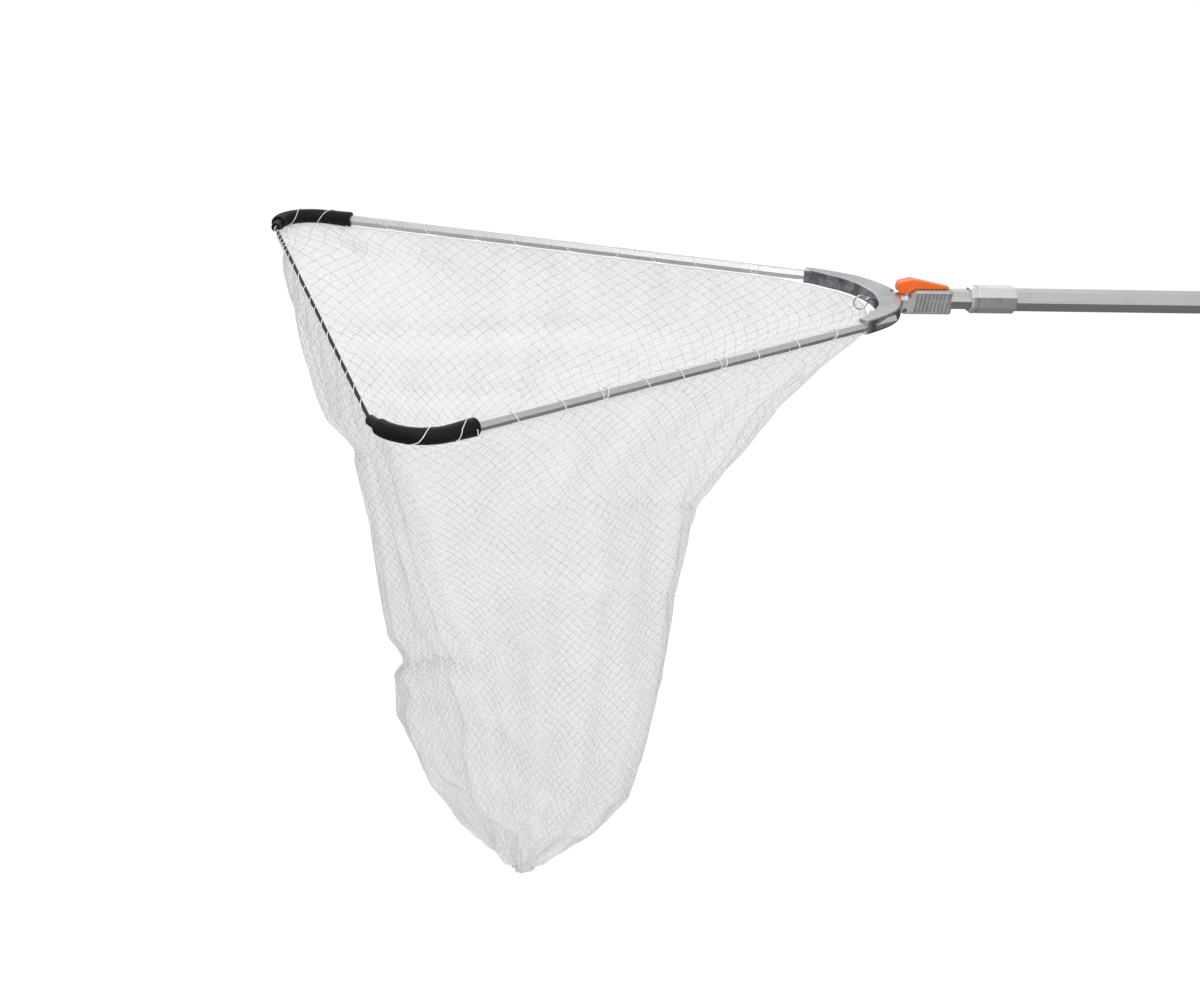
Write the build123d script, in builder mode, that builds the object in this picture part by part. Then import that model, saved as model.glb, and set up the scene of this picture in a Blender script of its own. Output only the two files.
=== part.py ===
from build123d import *
import math
import os

os.makedirs("parts", exist_ok=True)

# ---------------------------------------------------------------------------
# Folding landing net: a two-section telescopic handle, a hinge block with a
# latch lever, a cast head with two straight arms, moulded elbows at the tips,
# a taut cord across the mouth and a hanging net bag.
#
# Frame: millimetres, +Z up.  The pole's axis is the X axis.  The origin is
# the centre of the butt's flat end; the net lies toward -X.
# Left is -Y and right is +Y, as seen by somebody who holds the handle.
# ---------------------------------------------------------------------------

# --- driving dimensions -----------------------------------------------------
HINGE_X = -720.0        # station of the neck, where head and block meet
OUTER_AF = 20.4         # outer pole tube, hexagon, across flats
OUTER_BORE = 18.6
INNER_AF = 18.0         # inner pole tube, hexagon, across flats
INNER_BORE = 16.0
INNER_LEN = 600.0
INNER_X0 = HINGE_X + 22.0
COLLAR_AF = 26.0        # octagonal lock collar
COLLAR_X0 = HINGE_X + 67.0
COLLAR_LEN = 49.0
GRIP_R = 14.0           # round foam grip
GRIP_LEN = 206.0
TUBE_END = -6.2
BLOCK_W = 22.0          # ribbed hinge block
BLOCK_TOP = 10.4
BLOCK_BOTTOM = -13.4
BLOCK_REAR = 47.5
PIN_X = HINGE_X - 3.0   # main hinge pin, along Y
PIN_Z = -9.5
PIN_R = 2.5
KNUCKLE_R = 3.9
TONGUE_W = 11.6         # neck tongue between the block's cheeks
SLOT_W = 12.4
LATCH_X = HINGE_X - 3.5  # lever pivot, along Y
LATCH_Z = 1.5
LATCH_R = 1.2
DROOP = 2.2             # the head's plane falls this much toward the tips
HALF_ANGLE = 29.0       # each arm, from the pole's axis
APEX = 80.8             # where the two arm axes would meet, behind the neck
S_SOCKET = 178.0        # distances along an arm from that apex
S_ARM0 = 134.0
S_ELBOW = 662.0
S_BEND = 690.0
S_ARM1 = 686.0
ARM_AF = 8.6
ARM_WALL = 1.0
HEAD_H = 14.0           # height of the cast head
BEND_R = 37.0           # elbow's centre line
BEND_DEG = 102.6
ELBOW_R = 7.3
NOSE_R = 4.7
NOSE_LEN = 18.5
CORD_R = 1.6
CORD_GAP = 0.9          # each end stops this short of its ferrule's tip point
RING_R = 7.0            # split ring, centre line of its wire
RING_WIRE = 0.75
EYE_U = -42.6           # the eye's far side, which the ring hangs on
BAG_WALL = 1.0

ca, sa = math.cos(math.radians(HALF_ANGLE)), math.sin(math.radians(HALF_ANGLE))
cd, sd = math.cos(math.radians(DROOP)), math.sin(math.radians(DROOP))

# plane of the net head: local x toward the handle, local y = Y, local z up
HEAD = Plane(origin=(HINGE_X, 0, 0), x_dir=(cd, 0, sd), z_dir=(-sd, 0, cd))


def arm_point(s, side, off=0.0):
    """Point at distance s along an arm's axis, off to its outer side."""
    u = APEX - s * ca + off * sa
    v = s * sa + off * ca
    return (u, side * v)


def arm_plane(s, side):
    """Plane across an arm at s, facing the tip, with flats up and down."""
    u, v = arm_point(s, side)
    o = HEAD.from_local_coords((u, v, 0))
    d = HEAD.from_local_coords((u - ca, v + side * sa, 0)) - o
    up = HEAD.z_dir
    return Plane(origin=o, x_dir=up.cross(d), z_dir=d)


# ===========================================================================
# Handle
# ===========================================================================

with BuildPart() as outer_tube:
    with BuildSketch(Plane.YZ.offset(COLLAR_X0 + 12.0)):
        RegularPolygon(OUTER_AF / 2, 6, major_radius=False)
        RegularPolygon(OUTER_BORE / 2, 6, major_radius=False, mode=Mode.SUBTRACT)
    extrude(amount=TUBE_END - (COLLAR_X0 + 12.0))
outer_tube.part.label = "outer_tube"

with BuildPart() as lock_collar:
    with BuildSketch(Plane.YZ.offset(COLLAR_X0)):
        RegularPolygon(COLLAR_AF / 2, 8, major_radius=False, rotation=22.5)
    extrude(amount=COLLAR_LEN)
    chamfer(lock_collar.faces().sort_by(Axis.X)[0].edges(), 2.0)
    chamfer(lock_collar.faces().sort_by(Axis.X)[-1].edges(), 1.6)
    # a shallow waist near the front end, where the collar is gripped
    with BuildSketch(Plane.YZ.offset(COLLAR_X0 + 6.0)):
        Circle(20)
        RegularPolygon((COLLAR_AF - 1.0) / 2, 8, major_radius=False, rotation=22.5,
                       mode=Mode.SUBTRACT)
    extrude(amount=1.4, mode=Mode.SUBTRACT)
    with BuildSketch(Plane.YZ.offset(COLLAR_X0)):
        RegularPolygon(9.4, 6, major_radius=False)
    extrude(amount=3.0, mode=Mode.SUBTRACT)
    with BuildSketch(Plane.YZ.offset(COLLAR_X0 + 3.0)):
        RegularPolygon((OUTER_AF + 0.1) / 2, 6, major_radius=False)
    extrude(amount=COLLAR_LEN, mode=Mode.SUBTRACT)
lock_collar.part.label = "lock_collar"

with BuildPart() as collar_bush:
    with BuildSketch(Plane.YZ.offset(COLLAR_X0 + 3.1)):
        RegularPolygon(OUTER_AF / 2, 6, major_radius=False)
        RegularPolygon((INNER_AF + 0.16) / 2, 6, major_radius=False, mode=Mode.SUBTRACT)
    extrude(amount=8.7)
collar_bush.part.label = "collar_bush"

with BuildPart() as handle_grip:
    with BuildSketch(Plane.YZ.offset(TUBE_END - GRIP_LEN)):
        Circle(GRIP_R)
    extrude(amount=GRIP_LEN)
    fillet(handle_grip.edges().filter_by(GeomType.CIRCLE), 2.0)
    with BuildSketch(Plane.YZ.offset(TUBE_END - GRIP_LEN)):
        RegularPolygon((OUTER_AF + 0.1) / 2, 6, major_radius=False)
    extrude(amount=GRIP_LEN, mode=Mode.SUBTRACT)
handle_grip.part.label = "handle_grip"

with BuildPart() as grip_ring:
    with BuildSketch(Plane.YZ.offset(TUBE_END - GRIP_LEN - 7.2)):
        Circle(13.2)
    extrude(amount=7.0)
    chamfer(grip_ring.edges().filter_by(GeomType.CIRCLE), 1.0)
    with BuildSketch(Plane.YZ.offset(TUBE_END - GRIP_LEN - 7.2)):
        RegularPolygon((OUTER_AF + 0.1) / 2, 6, major_radius=False)
    extrude(amount=7.0, mode=Mode.SUBTRACT)
grip_ring.part.label = "grip_ring"

with BuildPart() as butt_cap:
    with BuildSketch(Plane.YZ.offset(-6.0)):
        Circle(GRIP_R - 0.2)
    extrude(amount=6.0)
    fillet(butt_cap.edges().filter_by(GeomType.CIRCLE).sort_by(Axis.X)[-1], 1.8)
    with BuildSketch(Plane.YZ.offset(-6.0)):
        Circle(9.2)
    extrude(amount=-24.0)
    chamfer(butt_cap.edges().filter_by(GeomType.CIRCLE).sort_by(Axis.X)[0], 1.0)
butt_cap.part.label = "butt_cap"

# ===========================================================================
# Inner pole with the hinge block
# ===========================================================================

with BuildPart() as inner_tube:
    with BuildSketch(Plane.YZ.offset(INNER_X0)):
        RegularPolygon(INNER_AF / 2, 6, major_radius=False)
        RegularPolygon(INNER_BORE / 2, 6, major_radius=False, mode=Mode.SUBTRACT)
    extrude(amount=INNER_LEN)
    # two holes in the lower wall for the block's screws
    with BuildSketch(Plane.XY.offset(-6.0)):
        with Locations((HINGE_X + 28.0, 0), (HINGE_X + 40.0, 0)):
            Circle(1.55)
    extrude(amount=-6.0, mode=Mode.SUBTRACT)
inner_tube.part.label = "inner_tube"

with BuildPart() as tail_guide:
    with BuildSketch(Plane.YZ.offset(INNER_X0 + INNER_LEN)):
        RegularPolygon((OUTER_BORE - 0.16) / 2, 6, major_radius=False)
    extrude(amount=14.0)
    chamfer(tail_guide.faces().sort_by(Axis.X)[-1].edges(), 0.8)
    with BuildSketch(Plane.YZ.offset(INNER_X0 + INNER_LEN)):
        RegularPolygon((INNER_BORE - 0.1) / 2, 6, major_radius=False)
    extrude(amount=-14.0)
    with BuildSketch(Plane.YZ.offset(INNER_X0 + INNER_LEN - 14.0)):
        Circle(5.0)
    extrude(amount=28.0, mode=Mode.SUBTRACT)
tail_guide.part.label = "tail_guide"


def hx(*pts):
    """Points given from the neck, in a side view, as XZ coordinates."""
    return [(HINGE_X + x, z) for x, z in pts]


with BuildPart() as hinge_base:
    # side view; Plane.XZ faces -Y, so a symmetric extrusion fills both sides
    with BuildSketch(Plane.XZ):
        with BuildLine():
            Polyline(*hx((BLOCK_REAR, BLOCK_BOTTOM), (BLOCK_REAR, BLOCK_TOP), (8.0, BLOCK_TOP),
                         (3.0, 6.4), (3.0, 2.2), (-6.9, 0.6), (-6.9, PIN_Z)))
            ThreePointArc(*hx((-6.9, PIN_Z), (-3.0 - KNUCKLE_R * 0.7071, PIN_Z - KNUCKLE_R * 0.7071),
                              (-3.0, BLOCK_BOTTOM)))
            Line(*hx((-3.0, BLOCK_BOTTOM), (BLOCK_REAR, BLOCK_BOTTOM)))
        make_face()
    extrude(amount=BLOCK_W / 2, both=True)
    fillet(hinge_base.edges().filter_by(Axis.Z).group_by(Axis.X)[-1], 5.0)
    fillet(hinge_base.faces().sort_by(Axis.X)[-1].edges().group_by(Axis.Z)[-1], 2.2)
    fillet(hinge_base.edges().filter_by(Axis.X).group_by(Axis.Z)[0], 1.6)
    # slot between the two cheeks
    with BuildSketch(Plane.XY.offset(-20.0)):
        with Locations((HINGE_X - 4.0, 0)):
            Rectangle(12.0, SLOT_W)
    extrude(amount=40.0, mode=Mode.SUBTRACT)
    # bore for the inner tube
    with BuildSketch(Plane.YZ.offset(INNER_X0 - 0.2)):
        RegularPolygon((INNER_AF + 0.1) / 2, 6, major_radius=False)
    extrude(amount=60.0, mode=Mode.SUBTRACT)
    # finger ribs: slanted grooves down both sides
    for side in (-1, 1):
        with BuildSketch(Plane.XZ.offset(side * (BLOCK_W / 2 + 1.0))):
            for i in range(9):
                with Locations(Location((HINGE_X + 8.4 + 4.05 * i, -1.9, 0), (0, 0, 1), -7)):
                    SlotOverall(19.0, 1.7, rotation=90)
        extrude(amount=-side * 1.9, mode=Mode.SUBTRACT)
    # pin hole through both cheeks
    with BuildSketch(Plane.XZ):
        with Locations((PIN_X, PIN_Z)):
            Circle(PIN_R + 0.02)
    extrude(amount=20.0, both=True, mode=Mode.SUBTRACT)
    # notch that the lever's hook drops into
    with BuildSketch(Plane.XY.offset(9.5)):
        with Locations((HINGE_X + 42.9, 0)):
            Rectangle(3.4, 8.6)
    extrude(amount=4.0, mode=Mode.SUBTRACT)
    # two countersunk screw holes from below
    with Locations(Location((HINGE_X + 28.0, 0, BLOCK_BOTTOM), (180, 0, 0)),
                   Location((HINGE_X + 40.0, 0, BLOCK_BOTTOM), (180, 0, 0))):
        CounterSinkHole(radius=1.55, counter_sink_radius=2.8, depth=4.6, counter_sink_angle=90)
hinge_base.part.label = "hinge_base"

with BuildPart() as base_screws:
    for x in (28.0, 40.0):
        with BuildSketch(Plane.XZ):
            with BuildLine():
                Polyline(*hx((x, BLOCK_BOTTOM + 0.1), (x + 2.6, BLOCK_BOTTOM + 0.1),
                             (x + 1.5, BLOCK_BOTTOM + 1.25), (x + 1.5, -6.8), (x, -6.8)), close=True)
            make_face()
        revolve(axis=Axis((HINGE_X + x, 0, 0), (0, 0, 1)), revolution_arc=360)
        with BuildSketch(Plane.XY.offset(BLOCK_BOTTOM)):
            with Locations((HINGE_X + x, 0)):
                RegularPolygon(1.1, 6)
        extrude(amount=1.0, mode=Mode.SUBTRACT)
base_screws.part.label = "base_screws"

with BuildPart() as hinge_pin:
    with BuildSketch(Plane.XZ.offset(-BLOCK_W / 2 + 0.1)):
        with Locations((PIN_X, PIN_Z)):
            Circle(PIN_R)
    extrude(amount=BLOCK_W - 0.2)
    chamfer(hinge_pin.edges().filter_by(GeomType.CIRCLE), 0.4)
hinge_pin.part.label = "hinge_pin"

with BuildPart() as pin_washers:
    for y in (-6.15, 5.85):
        with BuildSketch(Plane.XZ.offset(-y)):
            with Locations((PIN_X, PIN_Z)):
                Circle(3.7)
                Circle(PIN_R + 0.05, mode=Mode.SUBTRACT)
        extrude(amount=-0.3)
pin_washers.part.label = "pin_washers"

# ===========================================================================
# Net head
# ===========================================================================

OUTER_EDGE = [(-55.0, 80.0), (-41.0, 69.0), (-28.5, 55.5), (-19.0, 39.0), (-12.5, 23.0), (-9.6, 11.5)]
INNER_EDGE = [(-35.0, 0.0), (-37.0, 18.0), (-42.0, 36.0), (-51.0, 52.0), (-62.0, 65.5)]


def socket_corners():
    """Outer and inner corner of the right socket's end, in the head's plane."""
    return arm_point(S_SOCKET, 1, 5.6), arm_point(S_SOCKET, 1, -5.6)


with BuildPart() as head_casting:
    so, si = socket_corners()
    with BuildSketch(HEAD.offset(-HEAD_H / 2)):
        with BuildLine():
            a = Spline(so, *OUTER_EDGE, tangents=((ca, -sa), (0.25, -1)))
            Polyline((-9.6, 11.5), (-9.6, 0))
            Line((-9.6, 0), (-35.0, 0.0))
            b = Spline(*INNER_EDGE, si, tangents=((0, 1), (-ca, sa)))
            Line(si, so)
        make_face()
        mirror(about=Plane(origin=HEAD.origin, x_dir=HEAD.x_dir, z_dir=(0, 1, 0)))
    extrude(amount=HEAD_H)
    # rounded rims on top and below
    rim = head_casting.faces().filter_by(lambda f: abs(f.normal_at(f.center()).dot(HEAD.z_dir)) > 0.999)
    fillet([e for f in rim for e in f.edges() if e.length > 20], 1.6)
    # cored out from below, leaving a top web and the outer walls
    with BuildSketch(HEAD.offset(-HEAD_H / 2 - 1)):
        with BuildLine():
            Polyline((-30.5, 0), (-32.0, 17.0), (-36.0, 31.0), (-42.0, 43.0),
                     (-40.0, 57.0), (-30.0, 49.0), (-22.5, 36.0), (-17.5, 24.0), (-16.5, 0), close=True)
        make_face()
        mirror(about=Plane(origin=HEAD.origin, x_dir=HEAD.x_dir, z_dir=(0, 1, 0)))
    extrude(amount=9.5, mode=Mode.SUBTRACT)
    # a centre rib across the core
    with BuildSketch(HEAD.offset(-HEAD_H / 2 + 1.0)):
        with Locations((-24.0, 0)):
            Rectangle(17.0, 2.4)
    extrude(amount=8.0)
    # neck tongue with the main knuckle
    with BuildSketch(Plane.XZ):
        with BuildLine():
            Polyline(*hx((-18.0, 6.0), (1.1, 6.0), (1.1, -4.0), (0.9, PIN_Z)))
            ThreePointArc(*hx((0.9, PIN_Z), (-3.0, PIN_Z - KNUCKLE_R), (-6.9, PIN_Z)))
            Polyline(*hx((-6.9, PIN_Z), (-8.2, -6.2), (-18.0, -6.2), (-18.0, 6.0)))
        make_face()
    extrude(amount=TONGUE_W / 2, both=True)
    # pin hole
    with BuildSketch(Plane.XZ):
        with Locations((PIN_X, PIN_Z)):
            Circle(PIN_R + 0.06)
    extrude(amount=20.0, both=True, mode=Mode.SUBTRACT)
    # rounded recess for the lever's thick front end
    with BuildSketch(Plane.XZ):
        with BuildLine():
            Polyline(*hx((4.0, 4.6), (-12.6, 4.6)))
            ThreePointArc(*hx((-12.6, 4.6), (-14.6, 5.6), (-15.4, 7.6)))
            Polyline(*hx((-15.4, 7.6), (-15.4, 20.0), (4.0, 20.0), (4.0, 4.6)))
        make_face()
    extrude(amount=6.4, both=True, mode=Mode.SUBTRACT)
    # slot and pivot hole for the lever's eye
    with BuildSketch(Plane.XZ):
        with BuildLine():
            Polyline(*hx((-9.2, 8.0), (-9.2, 1.5)))
            ThreePointArc(*hx((-9.2, 1.5), (-5.2, -2.2), (-3.5, -2.4)))
            Polyline(*hx((-3.5, -2.4), (4.0, -2.4), (4.0, 8.0), (-9.2, 8.0)))
        make_face()
    extrude(amount=3.1, both=True, mode=Mode.SUBTRACT)
    with BuildSketch(Plane.XZ):
        with Locations((LATCH_X, LATCH_Z)):
            Circle(LATCH_R + 0.02)
    extrude(amount=TONGUE_W / 2, both=True, mode=Mode.SUBTRACT)
    # sockets for the arms
    for side in (-1, 1):
        with BuildSketch(arm_plane(S_ARM0 - 0.3, side)):
            RegularPolygon((ARM_AF + 0.1) / 2, 6, major_radius=False)
        extrude(amount=60.0, mode=Mode.SUBTRACT)
    # rivet holes from below
    with BuildSketch(HEAD.offset(-HEAD_H / 2 - 1)):
        with Locations(arm_point(160.0, 1), arm_point(160.0, -1)):
            Circle(1.62)
    extrude(amount=5.0, mode=Mode.SUBTRACT)
    # threaded hole for the eye's shank in the crotch
    with BuildSketch(Plane(origin=HEAD.from_local_coords((-30.0, 0, 0.5)), x_dir=(0, 1, 0), z_dir=-HEAD.x_dir)):
        Circle(1.02)
    extrude(amount=8.0, mode=Mode.SUBTRACT)
head_casting.part.label = "head_casting"


def make_arm(side):
    with BuildPart() as arm:
        with BuildSketch(arm_plane(S_ARM0, side)):
            RegularPolygon(ARM_AF / 2, 6, major_radius=False)
            RegularPolygon(ARM_AF / 2 - ARM_WALL, 6, major_radius=False, mode=Mode.SUBTRACT)
        extrude(amount=S_ARM1 - S_ARM0)
        with BuildSketch(HEAD.offset(-HEAD_H / 2 - 1)):
            with Locations(arm_point(160.0, side)):
                Circle(1.62)
        extrude(amount=7.0, mode=Mode.SUBTRACT)
    return arm.part


left_arm = make_arm(-1)
left_arm.label = "left_arm"
right_arm = make_arm(1)
right_arm.label = "right_arm"

with BuildPart() as arm_rivets:
    with BuildSketch(HEAD.offset(-HEAD_H / 2 + 0.2)):
        with Locations(arm_point(160.0, 1), arm_point(160.0, -1)):
            Circle(1.6)
    extrude(amount=4.4)
arm_rivets.part.label = "arm_rivets"


def elbow_frame(side):
    """Bend start, bend end and end direction of an elbow, in the head's plane."""
    bs = arm_point(S_BEND, side)
    d = (-ca, side * sa)
    n = (-sa, -side * ca)
    t = math.radians(BEND_DEG)
    be = (bs[0] + BEND_R * (math.sin(t) * d[0] + (1 - math.cos(t)) * n[0]),
          bs[1] + BEND_R * (math.sin(t) * d[1] + (1 - math.cos(t)) * n[1]))
    e = (math.cos(t) * d[0] + math.sin(t) * n[0], math.cos(t) * d[1] + math.sin(t) * n[1])
    h = t / 2
    bm = (bs[0] + BEND_R * (math.sin(h) * d[0] + (1 - math.cos(h)) * n[0]),
          bs[1] + BEND_R * (math.sin(h) * d[1] + (1 - math.cos(h)) * n[1]))
    return bs, bm, be, e


def head_plane_at(u, v, e):
    """Plane across direction e in the head's plane, at (u, v)."""
    o = HEAD.from_local_coords((u, v, 0))
    d = HEAD.from_local_coords((u + e[0], v + e[1], 0)) - o
    return Plane(origin=o, x_dir=HEAD.z_dir.cross(d), z_dir=d)


def make_elbow(side):
    bs, bm, be, e = elbow_frame(side)
    with BuildPart() as elbow:
        # bend
        with BuildLine(HEAD) as path:
            ThreePointArc(bs, bm, be)
        with BuildSketch(arm_plane(S_BEND, side)):
            Circle(ELBOW_R)
        sweep(path=path.line)
        # straight sleeve over the arm, a little thicker toward its open end
        with BuildSketch(arm_plane(S_ELBOW, side)):
            Circle(8.1)
        with BuildSketch(arm_plane(S_BEND, side)):
            Circle(ELBOW_R)
        loft()
        chamfer(elbow.edges().filter_by(GeomType.CIRCLE).sort_by(Axis.X)[-1], 1.0)
        # hexagonal bore for the arm
        with BuildSketch(arm_plane(S_ELBOW - 1, side)):
            RegularPolygon((ARM_AF + 0.1) / 2, 6, major_radius=False)
        extrude(amount=S_ARM1 + 1.3 - S_ELBOW, mode=Mode.SUBTRACT)
        # round bore for the cord ferrule
        with BuildSketch(head_plane_at(be[0], be[1], e)):
            Circle(NOSE_R - 1.0 + 0.03)
        extrude(amount=-10.0, mode=Mode.SUBTRACT)
    return elbow.part


def make_ferrule(side):
    bs, bm, be, e = elbow_frame(side)
    with BuildPart() as ferrule:
        with BuildSketch(head_plane_at(be[0], be[1], e)):
            Circle(NOSE_R)
        extrude(amount=NOSE_LEN)
        tip = ferrule.edges().filter_by(GeomType.CIRCLE).sort_by_distance(
            HEAD.from_local_coords((be[0] + e[0] * NOSE_LEN, be[1] + e[1] * NOSE_LEN, 0)))[0]
        fillet(tip, 1.6)
        with BuildSketch(head_plane_at(be[0], be[1], e)):
            Circle(NOSE_R - 1.0)
        extrude(amount=-9.8)
    return ferrule.part


left_tip_elbow = make_elbow(-1)
left_tip_elbow.label = "left_tip_elbow"
right_tip_elbow = make_elbow(1)
right_tip_elbow.label = "right_tip_elbow"
left_cord_ferrule = make_ferrule(-1)
left_cord_ferrule.label = "left_cord_ferrule"
right_cord_ferrule = make_ferrule(1)
right_cord_ferrule.label = "right_cord_ferrule"

# taut cord across the mouth, from the face of one ferrule to the other
_, _, be, e = elbow_frame(1)
CORD_U = be[0] + e[0] * NOSE_LEN
CORD_V = be[1] + e[1] * NOSE_LEN
with BuildPart() as front_cord:
    with BuildSketch(Plane(origin=HEAD.from_local_coords((CORD_U, -CORD_V + CORD_GAP, 0)),
                           x_dir=HEAD.x_dir, z_dir=(0, 1, 0))):
        Circle(CORD_R)
    extrude(amount=2 * (CORD_V - CORD_GAP))
front_cord.part.label = "front_cord"
print("front cord length", round(2 * (CORD_V - CORD_GAP), 1), "at", round(CORD_U, 1))

# loops of twine that lace the bag to the arms
with BuildPart() as lacing_twine:
    for side in (-1, 1):
        for i in range(9):
            pl = arm_plane(210.0 + 52.0 * i, side)
            with BuildSketch(Plane(origin=pl.origin, x_dir=pl.x_dir, z_dir=pl.y_dir)):
                with Locations((5.85, 0)):
                    Circle(0.45)
            revolve(axis=Axis(pl.origin, pl.z_dir), revolution_arc=360)
lacing_twine.part.label = "lacing_twine"

# eye screwed into the crotch, in the head's plane
with BuildPart() as ring_eye:
    ec = HEAD.from_local_coords((EYE_U + 3.2, 0, 0.5))
    with BuildSketch(Plane(origin=ec, x_dir=HEAD.x_dir, z_dir=(0, 1, 0))):
        with Locations((3.2, 0)):
            Circle(0.9)
    revolve(axis=Axis(ec, HEAD.z_dir), revolution_arc=360)
    with BuildSketch(Plane(origin=HEAD.from_local_coords((-30.2, 0, 0.5)), x_dir=(0, 1, 0),
                           z_dir=-HEAD.x_dir)):
        Circle(1.0)
    extrude(amount=-(EYE_U + 3.2 + 3.2 + 0.2) - 30.2)
ring_eye.part.label = "ring_eye"

# split ring, hung on the eye, its plane upright and in line with the pole
RING_OFF = 5.05
RING_DOWN = 49.0
ra = math.radians(RING_DOWN)
hang = HEAD.from_local_coords((EYE_U, 0, 0.5))
ring_c = hang + Vector(-RING_OFF * math.cos(ra), 0, -RING_OFF * math.sin(ra))
with BuildPart() as split_ring:
    with BuildSketch(Plane(origin=ring_c, x_dir=(1, 0, 0), z_dir=(0, 0, 1))):
        with Locations((RING_R, 0)):
            Rectangle(1.1, 1.5)
    revolve(axis=Axis(ring_c, (0, 1, 0)), revolution_arc=360)
    fillet(split_ring.edges(), 0.35)
split_ring.part.label = "split_ring"
print("ring swings about", hang, "centre", ring_c)

# ===========================================================================
# Latch lever
# ===========================================================================

with BuildPart() as latch_lever:
    # side view of the body: thick round front, crest, thin straight tail
    with BuildSketch(Plane.XZ):
        with BuildLine():
            Polyline(*hx((-7.6, 17.2), (3.4, 20.2), (5.6, 20.0), (43.8, 12.9), (43.8, 9.9), (41.5, 9.9),
                         (41.5, 11.0), (7.6, 11.0), (2.6, 8.0), (-4.6, 6.2), (-9.0, 8.2)), close=True)
        make_face()
        with Locations((HINGE_X - 4.6, 12.1)):
            Circle(6.0)
    extrude(amount=5.5, both=True)
    # plan view: wide at the front, narrowing along the tail
    with BuildSketch(Plane.XY.offset(0)):
        with BuildLine():
            Polyline(*hx((-20, -5.5), (-10.6, -3.6), (-8.6, -5.2), (-6.0, -5.5), (4.0, -5.5), (10.0, -4.7),
                         (43.8, -3.5), (43.8, 3.5), (10.0, 4.7), (4.0, 5.5), (-6.0, 5.5), (-8.6, 5.2),
                         (-10.6, 3.6)), close=True)
        make_face()
    extrude(amount=30.0, mode=Mode.INTERSECT)
    # eye on the pivot
    with BuildSketch(Plane.XZ):
        with Locations((LATCH_X, LATCH_Z)):
            Circle(3.3)
        with Locations((LATCH_X, LATCH_Z + 4.0)):
            Rectangle(6.6, 8.0)
    extrude(amount=1.8, both=True)
    with BuildSketch(Plane.XZ):
        with Locations((LATCH_X, LATCH_Z)):
            Circle(LATCH_R + 0.05)
    extrude(amount=10.0, both=True, mode=Mode.SUBTRACT)
latch_lever.part.label = "latch_lever"

with BuildPart() as latch_pin:
    with BuildSketch(Plane.XZ.offset(-TONGUE_W / 2 + 0.1)):
        with Locations((LATCH_X, LATCH_Z)):
            Circle(LATCH_R)
    extrude(amount=TONGUE_W - 0.2)
latch_pin.part.label = "latch_pin"

# torsion spring, wound round the pivot beside the lever's eye
with BuildPart() as latch_spring:
    with BuildLine() as coil:
        Helix(pitch=0.42, height=0.63, radius=2.0, center=(LATCH_X, 2.15, LATCH_Z), direction=(0, 1, 0))
    with BuildSketch(Plane(origin=coil.line @ 0, z_dir=coil.line % 0)):
        Circle(0.18)
    sweep(path=coil.line, is_frenet=True)
latch_spring.part.label = "latch_spring"

# ===========================================================================
# Net bag: a thin closed skin of the bag's outer shape, open at the mouth
# ===========================================================================

RIM = [(-86, 0), (-88, 66), (-150, 127), (-270, 193), (-400, 265), (-505, 324), (-560, 336), (-590, 290), (-588, 0)]
PHI = [0, 28, 55, 80, 105, 130, 150, 165, 180]
LEVELS = [  # height, share of the rim's outline, centre, half length, half width
    (-110.0, 0.55, -345.0, 232.0, 240.0),
    (-240.0, 0.18, -357.0, 164.0, 185.0),
    (-410.0, 0.0, -346.0, 138.0, 146.0),
    (-510.0, 0.0, -334.0, 112.0, 118.0),
    (-590.0, 0.0, -324.0, 62.0, 66.0),
    (-622.0, 0.0, -326.0, 24.0, 26.0),
]


def ring_points(level, inset):
    z, share, xc, a, b = level
    pts = []
    for k in range(16):
        j, s = (k, 1) if k <= 8 else (16 - k, -1)
        ex = xc + (a - inset) * math.cos(math.radians(PHI[j]))
        ey = (b - inset) * math.sin(math.radians(PHI[j]))
        x = share * RIM[j][0] + (1 - share) * ex
        y = share * RIM[j][1] + (1 - share) * ey
        if share > 0 and inset > 0:
            r = math.hypot(x - xc, y)
            x, y = xc + (x - xc) * (1 - share * inset / r), y * (1 - share * inset / r)
        pts.append((HINGE_X + x, s * y))
    return pts


def rim_points(inset):
    pts = []
    for k in range(16):
        j, s = (k, 1) if k <= 8 else (16 - k, -1)
        x, y = RIM[j]
        r = math.hypot(x + 345, y)
        pts.append((-345 + (x + 345) * (1 - inset * 1.3 / r), s * y * (1 - inset * 1.3 / r)))
    return pts


def skin(inset, top, bottom):
    with BuildPart() as s:
        with BuildSketch(HEAD.offset(top)):
            with BuildLine():
                Polyline(*rim_points(inset), close=True)
            make_face()
        for i, level in enumerate(LEVELS):
            z = level[0] + (bottom if i == len(LEVELS) - 1 else 0)
            with BuildSketch(Plane.XY.offset(z)):
                with BuildLine():
                    Polyline(*ring_points(level, inset), close=True)
                make_face()
        loft(ruled=True)
    return s.part


bag_outer = skin(0.0, -9.0, 0.0)
bag_inner = skin(BAG_WALL, -8.0, BAG_WALL)
net_bag = bag_outer - bag_inner
net_bag.label = "net_bag"

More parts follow.
